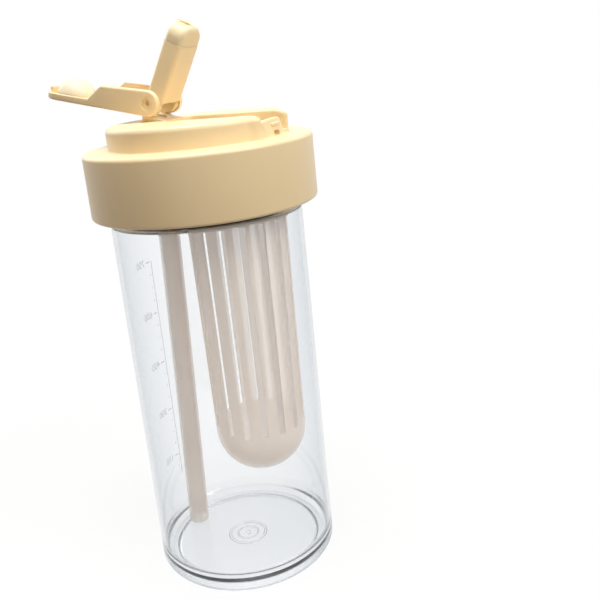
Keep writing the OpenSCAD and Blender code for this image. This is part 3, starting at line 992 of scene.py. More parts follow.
@dataclass
class PrintedScale:
    """Generic measuring marks printed on the body's outside."""

    radius: float = 43.53
    line_at: float = 170.2
    top: float = 144.5
    step: float = 26.5
    tail: float = 11.5
    numbers: tuple[str, ...] = ("750", "600", "450", "300", "150")
    number_turn: float = 11.5
    text_height: float = 3.6
    em_share: float = 1.4
    small_marks: int = 3
    line_half: float = 0.2
    line_over: float = 0.3
    mark_half: float = 0.25
    dash: Point = (-4.0, -1.2)
    dot: Point = (-2.1, -1.3)
    facet: float = 0.8

    def on_body(self, azimuth: float, across: float, z: float) -> Triple:
        """Point on the body's outside, a length across from an azimuth in degrees."""
        a = math.radians(azimuth) - across / self.radius
        return (self.radius * math.cos(a), self.radius * math.sin(a), z)

    def strip(self, name: str, across: Point, low: float, high: float) -> bpy.types.Object:
        """A thin printed rectangle that follows the body.

        Args:
            name: the object's name.
            across: where it starts and ends beside the scale's line.
            low: its lower edge.
            high: its upper edge.

        Returns:
            The new object.
        """
        work = bmesh.new()
        width = across[1] - across[0]
        columns = max(1, int(width / self.facet))
        rows = [[work.verts.new(self.on_body(self.line_at, across[0] + width * i / columns, z))
                 for i in range(columns + 1)] for z in (low, high)]
        for i in range(columns):
            work.faces.new((rows[0][i], rows[0][i + 1], rows[1][i + 1], rows[1][i]))
        return new_mesh_object(name, work)

    def mark(self, name: str, across: Point, z: float) -> bpy.types.Object:
        """A short mark at a height."""
        return self.strip(name, across, z - self.mark_half, z + self.mark_half)

    def number(self, text: str, z: float) -> bpy.types.Object:
        """A plain number laid on the body, which reads from outside.

        Args:
            text: the number.
            z: its height on the body.

        Returns:
            The new object.
        """
        curve = bpy.data.curves.new("number", "FONT")
        curve.body, curve.size = text, self.text_height * self.em_share
        curve.align_x = curve.align_y = "CENTER"
        flat = bpy.data.objects.new("number", curve)
        bpy.context.scene.collection.objects.link(flat)
        bpy.context.view_layer.update()
        graph = bpy.context.evaluated_depsgraph_get()
        mesh = bpy.data.meshes.new_from_object(flat.evaluated_get(graph))
        bpy.data.objects.remove(flat, do_unlink=True)
        work = bmesh.new()
        work.from_mesh(mesh)
        bpy.data.meshes.remove(mesh)
        for v in work.verts:
            v.co = self.on_body(self.line_at + self.number_turn, -v.co.x, z + v.co.y)
        return new_mesh_object("number", work)

    def build(self, finishes: Finishes) -> None:
        """Builds the scale as one piece."""
        bottom = self.top - self.step * (len(self.numbers) - 1) - self.tail
        parts = [self.strip("line", (-self.line_half, self.line_half), bottom, self.top + self.line_over)]
        for i, text in enumerate(self.numbers):
            z = self.top - i * self.step
            parts += [self.mark("dash", self.dash, z), self.number(text, z)]
            heights = (z - k * self.step / (self.small_marks + 1) for k in range(1, self.small_marks + 1))
            parts += [self.mark("dot", self.dot, low) for low in heights if low > bottom]
        seat(joined("printed_scale", parts), Body.BOTTLE, finishes.ink)


@dataclass
class LidShell:
    """Grip collar, deck, trough, latch wall, hinge pedestal and straw stem in one moulding."""

    hinge: HingePlace
    stem_place: StemPlace
    collar_r: float = 51.0
    collar_low: float = 174.7
    collar_top: float = 203.4
    top_round: float = 2.0
    low_round: float = 2.4
    shell_t: float = 2.6
    inner_rounds: tuple[float, ...] = (0.6, 0.4, 0.3, 0.6)
    plate_top: float = 200.8
    deck_r: float = 39.5
    deck_top: float = 213.6
    deck_round: float = 2.8
    deck_foot: float = 0.7
    deck_side: float = 2.4
    segments: int = 384
    crease: float = 28.0
    trough_half: float = 11.5
    trough_rear: float = -10.5
    trough_z: float = 205.4
    trough_t: float = 2.2
    trough_corner: float = 3.0
    trough_soft: float = 0.7
    pan_drop: float = 1.0
    pan_edge: float = 0.3
    # Place along X, radius of the flare and growth of the half width, out through the trough's mouth
    mouth_rings: tuple[Triple, ...] = (
        (31, 0.7, -0.05), (33.5, 0.75, -0.02), (35, 1.2, 0.02), (36.5, 2.0, 0.02), (37.6, 2.7, 0.03),
        (38.2, 3.0, 0.12), (38.6, 3.1, 0.35), (38.9, 3.2, 0.75), (39.1, 3.2, 1.2), (43, 3.2, 1.25))
    mouth_lift: float = 0.1
    horn: float = 1.5
    horn_y: float = 12.8
    horn_w: float = 4.8
    bulge_depth: float = 4.0
    bulge_over: float = 0.8
    lean_gap: float = 2.0
    lean_blend: float = 3.0
    foot_out: float = 0.4
    latch_near: float = -12.6
    latch_far: float = 7.4
    latch_t: float = 2.8
    latch_top: float = 210.9
    latch_crown: float = 0.4
    latch_round: float = 1.8
    latch_edge: float = 0.95
    latch_slope: float = 0.8
    latch_sink: float = 0.8
    latch_slices: int = 48
    bead_w: float = 7.4
    bead_h: float = 1.5
    bead_drop: float = 2.3
    bead_root: float = 1.8
    bead_out: float = 0.25
    bead_edge: float = 0.5
    drain_w: float = 4.8
    drain_h: float = 2.2
    drain_corner: float = 0.8
    drain_dip: float = 0.35
    drain_in: float = 3.4
    drain_out: float = 2.5
    cheek_r: float = 5.2
    cheek_in: float = 5.0
    cheek_out: float = 7.8
    cheek_edge: float = 0.45
    flare: float = 2.2
    seat_r: float = 6.1
    cheek_heel: Point = (0.0, -5.3)
    cheek_toe: Point = (2.55, -6.35)
    seat_toe: Point = (1.54, -5.9)
    slope_end: float = 6.9
    foot_sink: float = 1.3
    block_over: float = 0.5
    stem_r: float = 3.9
    stem_edge: float = 0.6
    stem_top: float = 198.6
    stem_collar_r: float = 5.4
    stem_root: float = 208.0
    stem_soft: float = 0.4
    turn_r: float = 6.2
    turn_low: float = 204.8
    bore_r: float = 2.6
    bore_top: float = 209.0
    seal_r: float = 4.3
    seal_room: float = 221.0
    vent_x: float = 0.4
    vent_r: float = 1.0
    boss_r: float = 3.0
    boss_drop: float = 0.5
    boss_edge: float = 0.2
    over: float = 2.0

    def shell(self) -> bpy.types.Object:
        """Collar and deck without the trough, whose wall swells beside the trough's mouth.

        Returns:
            The new object.
        """
        inner, side = self.collar_r - self.shell_t, self.deck_r - self.deck_side
        ceiling, rounds = self.deck_top - self.shell_t, self.inner_rounds
        shell = lathe("lid_shell_dressed", rounded([
            (0, self.deck_top), (self.deck_r, self.deck_top, self.deck_round),
            (self.deck_r, self.collar_top, self.deck_foot), (self.collar_r, self.collar_top, self.top_round),
            (self.collar_r, self.collar_low, self.low_round), (inner, self.collar_low, rounds[0]),
            (inner, self.plate_top, rounds[1]), (side, self.plate_top, rounds[2]),
            (side, ceiling, rounds[3]), (0, ceiling)], 8), self.segments)
        for v in shell.data.vertices:
            x, y, z = (c / MM for c in v.co)
            r = math.hypot(x, y)
            on_wall = self.deck_r - self.bulge_depth < r < self.deck_r + self.bulge_over
            if x > 0 and z > self.collar_top - HAIR and on_wall:
                share = min(1.0, max(0.0, (r - self.deck_r + self.deck_round) / self.deck_round))
                out = self.bulge(y, z) * share
                v.co.x += x / r * out * MM
                v.co.y += y / r * out * MM
        return shell

    def bulge(self, y: float, z: float) -> float:
        """How far the deck's wall stands out beyond its circle at a place along its front.

        Args:
            y: distance from the middle of the front.
            z: height.

        Returns:
            The distance: two soft horns beside the trough's mouth, and a leaning wall between them.
        """
        horn = self.horn * max(0.0, 1 - ((abs(y) - self.horn_y) / self.horn_w) ** 2) ** 2
        share = min(1.0, max(0.0, (self.horn_y - self.lean_gap - abs(y)) / self.lean_blend))
        share = share * share * (3 - 2 * share)
        rise = min(1.0, max(0.0, (z - self.collar_top) / (self.latch_top - self.collar_top)))
        return horn + share * (self.foot_out - (self.foot_out + self.latch_slope) * rise)

    def trough_outline(self) -> Outline:
        """Plan of the trough, open at the deck's edge."""
        w, x0, reach, corner = self.trough_half, self.trough_rear, self.collar_r, self.trough_corner
        return rounded([(x0, -w, corner), (reach, -w), (reach, w), (x0, w, corner)], 6)

    def mouth_cutter(self) -> bpy.types.Object:
        """Cutter that rounds the deck's corners where the trough runs out of it.

        Returns:
            The cutter.
        """
        rings = []
        for x, flare, grow in self.mouth_rings:
            w = self.trough_half + grow
            side = [(w, self.trough_z + self.mouth_lift),
                    *arc((w + flare, self.deck_top - flare), flare, 180, 90, 10),
                    (w + flare, self.deck_top + self.over)]
            rings.append([(x, a, b) for a, b in side] + [(x, -a, b) for a, b in reversed(side)])
        return skin("mouth", rings)

    def trough_cutter(self) -> bpy.types.Object:
        """Cutter of the trough, soft along the floor and flared at the deck's top.

        Returns:
            The cutter.
        """
        plan, soft = self.trough_outline(), self.trough_soft
        rings = [(self.trough_z + soft * (1 - math.cos(a)), soft * (1 - math.sin(a))) for a in quarter(6)]
        rings += [(self.deck_top - soft * (1 - math.sin(a)), -soft * (1 - math.cos(a))) for a in quarter(6)]
        rings.append((self.deck_top + self.over, -soft))
        return skin("trough", [[(x, y, z) for x, y in inset(plan, depth)] for z, depth in rings])

    def trough_pan(self) -> bpy.types.Object:
        """Material under and round the trough, inside the deck.

        Returns:
            The new object.
        """
        edge = self.deck_r - self.deck_side / 2
        w, x0 = self.trough_half + self.trough_t, self.trough_rear - self.trough_t
        angle, corner = math.degrees(math.asin(w / edge)), self.trough_corner + self.trough_t
        front = arc((0, 0), edge, -angle, angle, 24)
        rear = rounded([front[-1], (x0, w, corner), (x0, -w, corner), front[0]], 6)[1:-1]
        return pillow("pan", front + rear, self.trough_z - self.trough_t, self.deck_top - self.pan_drop,
                      self.pan_edge)

    def latch_height(self, y: float) -> float:
        """Height of the latch wall's top.

        Args:
            y: place along the front.

        Returns:
            The height: a low crown that drops at the far end.
        """
        crown = self.latch_crown * max(0.0, 1 - (y / self.latch_far) ** 2)
        over = max(0.0, y - (self.latch_far - self.latch_round))
        drop = self.latch_round - math.sqrt(max(0.0, self.latch_round ** 2 - over ** 2))
        return self.latch_top + crown - drop

    def latch(self) -> bpy.types.Object:
        """Wall at the trough's front that the cover's lip hooks over.

        Returns:
            The new object.
        """
        inner, outer = self.deck_r - self.latch_t, self.deck_r - 2 * HAIR
        low, edge, rings = self.trough_z - self.latch_sink, self.latch_edge, []
        for i in range(self.latch_slices + 1):
            sweep = math.sin(math.pi / 2 * i / self.latch_slices)
            y = self.latch_near + (self.latch_far - self.latch_near) * sweep
            angle, top, ring = math.asin(y / self.deck_r), self.latch_height(y), []
            for r, z in rounded([(inner, low), (outer, low), (outer, top, edge), (inner, top, edge)], 6):
                r += self.bulge(y, z) * (r - inner) / self.latch_t
                ring.append((r * math.cos(angle), r * math.sin(angle), z))
            rings.append(ring)
        return skin("latch", rings)

    def bead(self) -> bpy.types.Object:
        """Small bead on the latch wall's outside that the lip snaps over."""
        centre = (0, self.latch_top - self.bead_drop)
        line = box_outline(self.bead_w, self.bead_h, self.bead_h / 2 - HAIR, centre, 8)
        return pillow("bead", line, self.deck_r - self.bead_root, self.deck_r + self.bead_out,
                      (0, self.bead_edge), Lay.ALONG_X)

    def drain(self) -> bpy.types.Object:
        """Cutter of the drain slot at the latch wall's foot."""
        line = box_outline(self.drain_w, self.drain_h, self.drain_corner, (0, self.trough_z - self.drain_dip))
        return pillow("drain", line, self.deck_r - self.drain_in, self.deck_r + self.drain_out, 0,
                      Lay.ALONG_X)

    def pedestal(self) -> list[bpy.types.Object]:
        """The two cheeks and the block between them that carries the spout's barrel.

        Returns:
            The solids, whose fronts leave room for the folded spout.
        """
        hinge, r, f = self.hinge, self.cheek_r, self.flare
        deck = self.deck_top - hinge.z
        foot, low = deck + f, deck - self.foot_sink
        heel, toe, seat_toe = (hinge.turned(p) for p in (self.cheek_heel, self.cheek_toe, self.seat_toe))
        slope = [(self.slope_end, deck), (self.slope_end, low)]
        back = [(-r - f, low), *arc((-r - f, foot), f, -90, 0, 8)]
        start = math.degrees(math.atan2(heel[1], heel[0]))
        cheek = arc((0, 0), r, start, 180, 40) + [(-r, foot)] + back[::-1] + slope[::-1] + [toe, heel]
        seat_start = math.degrees(math.atan2(seat_toe[1], seat_toe[0]))
        seat_end = -180 + math.degrees(math.acos(r / self.seat_r))
        block = arc((0, 0), self.seat_r, seat_end, seat_start, 24) + [toe] + slope + back
        half = self.cheek_in + self.block_over
        return pair("cheek", cheek, self.cheek_in, self.cheek_out, self.cheek_edge, hinge.upright()) + [
            pillow("block", block, -half, half, 0, Lay.ALONG_Y, hinge.upright())]

    def stem(self) -> list[bpy.types.Object]:
        """Stem that the sleeve is pushed over, its collar and the turn under the deck.

        Returns:
            The stem with its collar, and the turn.
        """
        low, top, soft = self.stem_place.low, self.stem_top, self.stem_soft
        stem = lathe("stem", rounded([
            (0, low), (self.stem_r, low, self.stem_edge), (self.stem_r, top, soft),
            (self.stem_collar_r, top, soft), (self.stem_collar_r, self.stem_root), (0, self.stem_root)], 5),
            64, self.stem_place.frame())
        plan = (arc((self.hinge.x, 0), self.turn_r, -90, 90, 24)
                + arc((self.stem_place.x, 0), self.turn_r, 90, 270, 24))
        return [stem, pillow("turn", plan, self.turn_low, self.deck_top - self.foot_sink, soft)]

    def bores(self) -> list[bpy.types.Object]:
        """Cutters of the drinking way, the pins' bore and the vent.

        Returns:
            The cutters.
        """
        r, low, top = self.bore_r, self.stem_place.low - 1, self.bore_top
        root, deck, seal, room = self.stem_root, self.deck_top, self.seal_r, self.seal_room
        return [
            lathe("bore", [(0, low), (r, low), (r, top), (0, top)], 48, self.stem_place.frame()),
            lathe("bore", [(0, root), (r, root), (r, deck), (seal, deck), (seal, room), (0, room)], 48,
                  Matrix.Translation((self.hinge.x, 0, 0))),
            self.hinge.bore(self.hinge.upright()),
            pillow("vent", circle(self.vent_r, (self.vent_x, 0), 32), self.plate_top - 1,
                   self.trough_z + self.over, 0),
        ]

    def build(self, finishes: Finishes) -> None:
        """Builds the shell."""
        shell = self.shell()
        boss = pillow("boss", circle(self.boss_r, (self.vent_x, 0), 32), self.plate_top,
                      self.trough_z - self.boss_drop, self.boss_edge)
        combine(shell, [self.trough_pan(), *self.stem(), boss], Fuse.ADD)
        combine(shell, [self.trough_cutter(), self.mouth_cutter()], Fuse.CUT)
        combine(shell, [self.latch(), self.bead(), *self.pedestal()], Fuse.ADD)
        combine(shell, [self.drain(), *self.bores()], Fuse.CUT)
        seat(smooth(shell, self.crease), Body.LID, finishes.cream, ["lid_shell"])


@dataclass
class Spout:
    """Drinking spout: barrel, bar and soft mouthpiece."""

    hinge: HingePlace
    length: float = 37.2
    width: float = 15.6
    front: float = 6.0
    back: float = 3.2
    edge: float = 2.0
    end_edge: float = 0.25
    mouth_u: float = 28.6
    seam: float = 0.06
    tip_edge: float = 2.6
    shoulder: float = 6.4
    tip_root: float = 6.0
    crease: float = 40.0
    nozzle_r: float = 4.4
    nozzle_rise: float = 0.1
    nozzle_back: float = 0.8
    nozzle_root: float = 3.0
    nozzle_edge: float = 1.1
    mouth_r: float = 3.1
    mouth_depth: float = 5.0
    mouth_edge: float = 0.6
    mouth_over: float = 0.3
    throat_r: float = 2.0
    barrel_r: float = 5.8
    barrel_half: float = 5.0
    barrel_edge: float = 0.35
    cheek_clear: float = 5.5
    clear_reach: float = 12.0
    root_front: float = 4.98
    root_len: float = 2.52
    channel_w: float = 5.2
    channel_t: float = 3.4
    channel_start: float = 8.0

    def section(self, u: float, depth: float) -> Ring:
        """Cross-section of the bar.

        Args:
            u: its length from the hinge.
            depth: how far it is drawn in.

        Returns:
            The ring.
        """
        thick, mid = self.front + self.back, (self.front - self.back) / 2
        flat = inset(box_outline(thick, self.width, self.edge, (mid, 0), 8), depth)
        return [(a, b, u) for a, b in flat]

    def channel(self, low: float, high: float) -> bpy.types.Object:
        """Cutter of the flat drinking channel between two lengths from the hinge."""
        flat = box_outline(self.channel_t, self.channel_w, self.channel_t / 2 - HAIR, steps=10)
        return skin("channel", [[(a, b, u) for a, b in flat] for u in (low, high)], self.hinge.spout())

    def bar(self) -> bpy.types.Object:
        """Bar with the barrel that turns between the cheeks.

        Returns:
            The new object.
        """
        place, end, rim = self.hinge.spout(), self.mouth_u - self.seam / 2, self.end_edge
        rings = [self.section(0, 0)]
        rings += [self.section(end - rim + rim * math.sin(a), rim * (1 - math.cos(a))) for a in quarter(3)]
        bar = skin("spout_bar", rings, place)
        slope, ahead, up = self.front - self.root_front, 2 * self.front, 2 * self.root_len
        root = [(self.root_front, 0), (self.front + slope, up), (ahead, up), (ahead, -1),
                (self.root_front, -1)]
        reach = self.clear_reach
        combine(bar, pair("clear", circle(self.cheek_clear, steps=72), self.barrel_half, reach, 0, place)
                + [pillow("root", root, -reach, reach, 0, Lay.ALONG_Y, place)], Fuse.CUT)
        barrel = pillow("barrel", circle(self.barrel_r, steps=96), -self.barrel_half, self.barrel_half,
                        self.barrel_edge, Lay.ALONG_Y, place)
        combine(bar, [barrel], Fuse.ADD)
        return combine(bar, [self.channel(0, self.length)], Fuse.CUT)

    def mouthpiece(self) -> bpy.types.Object:
        """Soft tip with rounded shoulders and a low nozzle ring round its mouth.

        Returns:
            The new object.
        """
        half, start, place = self.width / 2, self.mouth_u - self.tip_root, self.hinge.spout()
        tip = pillow("spout_soft_tip", rounded([
            (-half, start), (half, start), (half, self.length, self.shoulder),
            (-half, self.length, self.shoulder)], 14),
            -self.back, self.front, self.tip_edge, Lay.ALONG_X, place, steps=10)
        seam = place @ Vector((0, 0, self.mouth_u + self.seam / 2))
        cut_flat(tip, seam, place.to_3x3() @ Vector((0, 0, -1)))
        nozzle = place @ Matrix.Translation(((self.front - self.back) / 2 - self.nozzle_back, 0, 0))
        r, root, top = self.nozzle_r, self.length - self.nozzle_root, self.length + self.nozzle_rise
        ring = lathe("nozzle", rounded([(0, root), (r, root), (r, top, self.nozzle_edge), (0, top)], 8),
                     72, nozzle)
        combine(tip, [ring], Fuse.ADD)
        low, edge, over = self.mouth_u - self.channel_start, self.mouth_edge, self.mouth_over
        r, throat, step = self.mouth_r, self.throat_r, top - self.mouth_depth
        mouth = lathe("mouth", rounded([
            (0, low), (throat, low), (throat, step), (r, step, edge), (r, top - edge),
            (r + edge + over, top + over), (0, top + over)], 6), 72, nozzle)
        return combine(tip, [mouth, self.channel(low, self.length - 1)], Fuse.CUT)

    def build(self, finishes: Finishes) -> None:
        """Builds the bar and its soft tip."""
        seat(smooth(self.bar()), Body.SPOUT, finishes.cream, ["spout"])
        seat(smooth(self.mouthpiece(), self.crease), Body.SPOUT, finishes.silicone,
             ["spout_mouthpiece"])


@dataclass
class FlipCover:
    """Cover with two hinge ears, side walls, a lip at its tip and a soft dome plug."""

    hinge: HingePlace
    length: float = 60.4
    half: float = 10.4
    inner_half: float = 8.1
    inner_v: float = -4.0
    outer_v: float = -5.7
    edge: float = 1.0
    ear_r: float = 5.7
    wall_top: float = 25.4
    wall_low: float = 34.4
    wall_end_h: float = 4.56
    wall_round: float = 1.6
    tip_r: float = 9.9
    tip_start: float = 28.0
    tip_inset: float = 0.03
    tip_edges: Point = (0.8, 0.45)
    rim_t: float = 1.2
    rim_top: float = -2.5
    room_gap: float = 0.6
    web_start: float = 8.3
    inside_over: float = 8.0
    clear: float = 12.0
    lip_half: float = 3.0
    lip_t: float = 1.6
    lip_top: float = -0.8
    lip_edge: float = 0.5
    lip_inset: float = 0.06
    lip_root: float = 0.95
    lip_slices: int = 16
    counterbore: float = 3.0
    counterbore_floor: float = 9.8
    plug_x: float = 46.5
    plug_r: float = 8.8
    plug_h: float = 8.4
    plug_foot: float = 2.0
    plug_edge: float = 0.5
    dimple_r: float = 2.6
    dimple_d: float = 0.7
    dome_steps: int = 32
    stem_r: float = 2.0
    button_r: float = 3.2
    button_t: float = 0.7
    button_edges: Point = (0.1, 0.15)
    hole_clear: float = 0.1
    over_cut: float = 2.3
    plug_crease: float = 45.0

    def plan(self, depth: float, start: float) -> Outline:
        """Plan of the cover's tip.

        Args:
            depth: how far it is drawn in.
            start: where it starts along the cover.

        Returns:
            The outline.
        """
        w, tip, radius = self.half - depth, self.length - depth, self.tip_r - depth
        return rounded([(start, -w), (tip, -w, radius), (tip, w, radius), (start, w)], 12)

    def reach(self, y: float, depth: float) -> float:
        """How far the tip's plan reaches.

        Args:
            y: distance from the middle.
            depth: how far the plan is drawn in.

        Returns:
            The length from the hinge.
        """
        r, over = self.tip_r - depth, max(0.0, abs(y) - (self.half - self.tip_r))
        return self.length - self.tip_r + math.sqrt(max(0.0, r * r - over * over))

    def lip(self) -> bpy.types.Object:
        """Low tab at the tip that hooks over the latch wall.

        Returns:
            The new object.
        """
        ys = [self.lip_half * (2 * i / self.lip_slices - 1) for i in range(self.lip_slices + 1)]
        outline = [(self.reach(y, self.lip_inset), y) for y in ys]
        outline += [(self.reach(y, self.lip_t), y) for y in reversed(ys)]
        return pillow("lip", outline, self.outer_v + self.lip_root, self.lip_top, (0, self.lip_edge),
                      place=self.hinge.cover())

    def shell(self) -> bpy.types.Object:
        """Walls, web, rim, lip and ears as one moulding.

        Returns:
            The new object.
        """
        place, far = self.hinge.cover(), self.clear
        side = arc((0, 0), self.ear_r, 90, 270, 40)[:-1]
        side += rounded([(0, self.outer_v), (self.wall_low, self.outer_v), (self.wall_low, self.inner_v),
                         (self.wall_top, self.wall_end_h, self.wall_round), (0, self.ear_r)], 8)[:-1]
        cover = pillow("flip_cover_shell", side, -self.half, self.half, self.edge, Lay.ALONG_Y, place)
        tip = pillow("tip", self.plan(self.tip_inset, self.tip_start), self.outer_v + HAIR, self.rim_top,
                     self.tip_edges, place=place)
        combine(cover, [tip], Fuse.ADD)
        end, start = self.wall_low + self.inside_over, self.web_start
        inside = [(start, self.inner_v), (end, self.inner_v), (end, far), (-far, far), (-far, -far),
                  (start, -far)]
        combine(cover, [pillow("inside", inside, -self.inner_half, self.inner_half, 0, Lay.ALONG_Y, place)],
                Fuse.CUT)
        room = self.plan(self.rim_t, self.wall_low + self.room_gap)
        combine(cover, [pillow("room", room, self.inner_v - HAIR / 2, self.ear_r, 0, place=place)], Fuse.CUT)
        combine(cover, [self.lip()], Fuse.ADD)
        centre, clear = (self.plug_x, 0), self.hole_clear
        cuts = [self.hinge.bore(place)]
        cuts += pair("counterbore", circle(self.counterbore, steps=48), self.counterbore_floor, far, 0, place)
        for r, steps, top in ((self.stem_r, 32, 0), (self.button_r, 40, self.outer_v + self.button_t)):
            cuts.append(pillow("plug hole", circle(r + clear, centre, steps), self.outer_v - self.over_cut,
                               top, 0, place=place))
        return combine(cover, cuts, Fuse.CUT)

    def plug(self) -> bpy.types.Object:
        """Soft dome with a dimple on its top, held through the web by its stem and button.

        Returns:
            The new object.
        """
        foot, web, r = self.plug_foot, self.inner_v - self.outer_v, self.plug_r
        cap = self.plug_h - foot
        dome_r = (r ** 2 + cap ** 2) / (2 * cap)
        dome = []
        for i in range(self.dome_steps + 1):
            x = r * math.sin(math.pi / 2 * i / self.dome_steps)
            z = self.plug_h - dome_r + math.sqrt(dome_r ** 2 - x ** 2)
            if x < self.dimple_r:
                z -= self.dimple_d * (0.5 + 0.5 * math.cos(math.pi * x / self.dimple_r))
            dome.append((x, z))
        fine, soft = self.button_edges
        stem, button, top = self.stem_r, self.button_r, self.button_t - web
        under = rounded([(r, foot), (r, 0, self.plug_edge), (stem, 0, fine), (stem, top, fine),
                         (button, top, soft), (button, -web, soft), (0, -web)], 4)[1:]
        place = self.hinge.cover() @ Matrix.Translation((self.plug_x, 0, self.inner_v))
        return lathe("cover_dome_plug", dome + under, 128, place)

    def build(self, finishes: Finishes) -> None:
        """Builds the cover and its plug."""
        seat(smooth(self.shell()), Body.COVER, finishes.cream, ["flip_cover"])
        seat(smooth(self.plug(), self.plug_crease), Body.COVER, finishes.plug, ["cover_plug"])


@dataclass
class HingePins:
    """Two pins with a hollow end that show in the cover's ears."""

    hinge: HingePlace
    radius: float = 1.5
    inner: float = 3.5
    outer: float = 9.7
    hollow_r: float = 0.95
    hollow_d: float = 1.6
    inner_edge: float = 0.3
    outer_edge: float = 0.25
    hollow_edge: float = 0.2

    def build(self, finishes: Finishes) -> None:
        """Builds both pins."""
        floor = self.outer - self.hollow_d
        profile = rounded([(0, self.inner), (self.radius, self.inner, self.inner_edge),
                           (self.radius, self.outer, self.outer_edge),
                           (self.hollow_r, self.outer, self.hollow_edge),
                           (self.hollow_r, floor, self.inner_edge), (0, floor)], 5)
        for name, turn in (("near", 90), ("far", -90)):
            place = self.hinge.upright() @ Matrix.Rotation(math.radians(turn), 4, "X")
            pin = smooth(lathe(f"pin_{name}", profile, 48, place))
            seat(pin, Body.LID, finishes.cream, [f"hinge_pin_{name}"])


@dataclass
class StrawLine:
    """Straw and the sleeve that joins it to the stem."""

    stem: StemPlace
    lean: float = 2.4
    radius: float = 5.0
    wall: float = 1.0
    edge: float = 0.35
    low: float = 6.0
    gap: float = 0.3
    sleeve_r: float = 6.2
    sleeve_low: float = 181.6
    sleeve_top: float = 195.6
    sleeve_edge: float = 0.8
    sleeve_lead: float = 0.3
    stem_bore: float = 4.05
    stop_bore: float = 3.6
    stop_t: float = 0.25
    fine: float = 0.1
    straw_clear: float = 0.02

    def place(self) -> Matrix:
        """Frame of the leaning straw."""
        return (Matrix.Translation((self.stem.x, 0, self.stem.low))
                @ Matrix.Rotation(math.radians(self.lean), 4, "Y")
                @ Matrix.Translation((0, 0, -self.stem.low)))

    def straw(self) -> bpy.types.Object:
        """Straw.

        Returns:
            The new object.
        """
        r, inner, top, edge = self.radius, self.radius - self.wall, self.stem.low - self.gap, self.edge
        tube = rounded([(r, self.low, edge), (r, top, edge), (inner, top, edge), (inner, self.low, edge)], 5)
        return smooth(lathe("drinking_straw", tube, 96, self.place()))

    def sleeve(self) -> bpy.types.Object:
        """Soft sleeve with a stop between the stem and the straw.

        Returns:
            The new object.
        """
        s, lead, fine, stop = self.sleeve_r, self.sleeve_lead, self.fine, self.stem.low - self.stop_t
        bore = self.radius + self.straw_clear
        line = rounded([
            (s, self.sleeve_low, self.sleeve_edge), (s, self.sleeve_top, self.sleeve_edge),
            (self.stem_bore, self.sleeve_top, lead), (self.stem_bore, self.stem.low, fine),
            (self.stop_bore, self.stem.low, fine), (self.stop_bore, stop, fine), (bore, stop, fine),
            (bore, self.sleeve_low, lead)], 5)
        return smooth(lathe("straw_soft_sleeve", line, 96, self.place()))

    def build(self, finishes: Finishes) -> None:
        """Builds the straw and its sleeve."""
        seat(self.straw(), Body.LID, finishes.milky, ["straw"])
        seat(self.sleeve(), Body.LID, finishes.silicone, ["straw_sleeve"])


@dataclass
class InfuserBasket:
    """Slotted basket with a round bottom that hangs from the lid."""

    x: float = 15.0
    radius: float = 22.3
    low_radius: float = 21.2
    wall: float = 1.4
    rim_low: float = 172.1
    rim_top: float = 197.3
    rim_edges: Point = (0.4, 0.3)
    socket_in: float = 20.9
    socket_low: float = 184.3
    socket_slope: float = 0.2
    cap_z: float = 67.2
    slots: int = 16
    slot_w: float = 3.0
    slot_low: float = 69.2
    slot_high: float = 169.1
    slot_in: float = 5.0
    slot_out: float = 4.0
    segments: int = 192

    def profile(self) -> Outline:
        """Profile of the wall.

        Returns:
            The closed profile, up the outside and down the inside.
        """
        inner_low, inner = self.low_radius - self.wall, self.radius - self.wall
        out = arc((0, self.cap_z), self.low_radius, -90, 0, 24)
        rim = rounded([(self.low_radius, self.cap_z), (self.radius, self.rim_low),
                       (self.radius, self.rim_top, self.rim_edges[0]),
                       (self.socket_in, self.rim_top, self.rim_edges[1]), (self.socket_in, self.socket_low),
                       (inner, self.socket_low - self.socket_slope), (inner, self.rim_low),
                       (inner_low, self.cap_z)], 5)[1:]
        back = arc((0, self.cap_z), inner_low, 0, -90, 24)[1:]
        return [(max(0.0, r), z) for r, z in out + rim + back]

    def build(self, finishes: Finishes) -> None:
        """Builds the basket."""
        at = Matrix.Translation((self.x, 0, 0))
        basket = lathe("infuser_slotted_basket", self.profile(), self.segments, at)
        height, middle = self.slot_high - self.slot_low, (self.slot_high + self.slot_low) / 2
        outline = box_outline(self.slot_w, height, self.slot_w / 2 - HAIR, (0, middle), 8)
        cutters = []
        for i in range(self.slots):
            turn = at @ Matrix.Rotation(2 * math.pi * (i + 0.5) / self.slots, 4, "Z")
            cutters.append(pillow("slot", outline, self.low_radius - self.slot_in,
                                  self.radius + self.slot_out, 0, Lay.ALONG_X, turn))
        combine(basket, [joined("slots", cutters)], Fuse.CUT)
        seat(smooth(basket), Body.INFUSER, finishes.milky, ["infuser_basket"])


@dataclass
class LidFittings:
    """Liner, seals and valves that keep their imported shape."""

    cream: tuple[str, ...] = ("lid_liner",)
    soft: tuple[str, ...] = ("neck_seal", "valve_seal", "vent_valve", "infuser_seal")

    def build(self, finishes: Finishes) -> None:
        """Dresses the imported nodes."""
        for node in self.cream:
            dress_node(node, finishes.cream)
        for node in self.soft:
            dress_node(node, finishes.silicone)


# Studio

@dataclass(frozen=True)
class Lamp:
    """A square soft lamp, in metres and watts, that looks at the bottle's middle."""

    name: str
    at: Triple
    size: float
    power: float
    colour: Colour
    target: Triple = (0, 0, 0.13)

    def build(self) -> None:
        """Adds the lamp."""
        data = bpy.data.lights.new(self.name, "AREA")
        data.shape, data.size, data.energy, data.color = "SQUARE", self.size, self.power, self.colour
        lamp = bpy.data.objects.new(self.name, data)
        bpy.context.scene.collection.objects.link(lamp)
        lamp.location = self.at
        lamp.rotation_mode = "QUATERNION"
        lamp.rotation_quaternion = (Vector(self.target) - Vector(self.at)).to_track_quat("-Z", "Y")


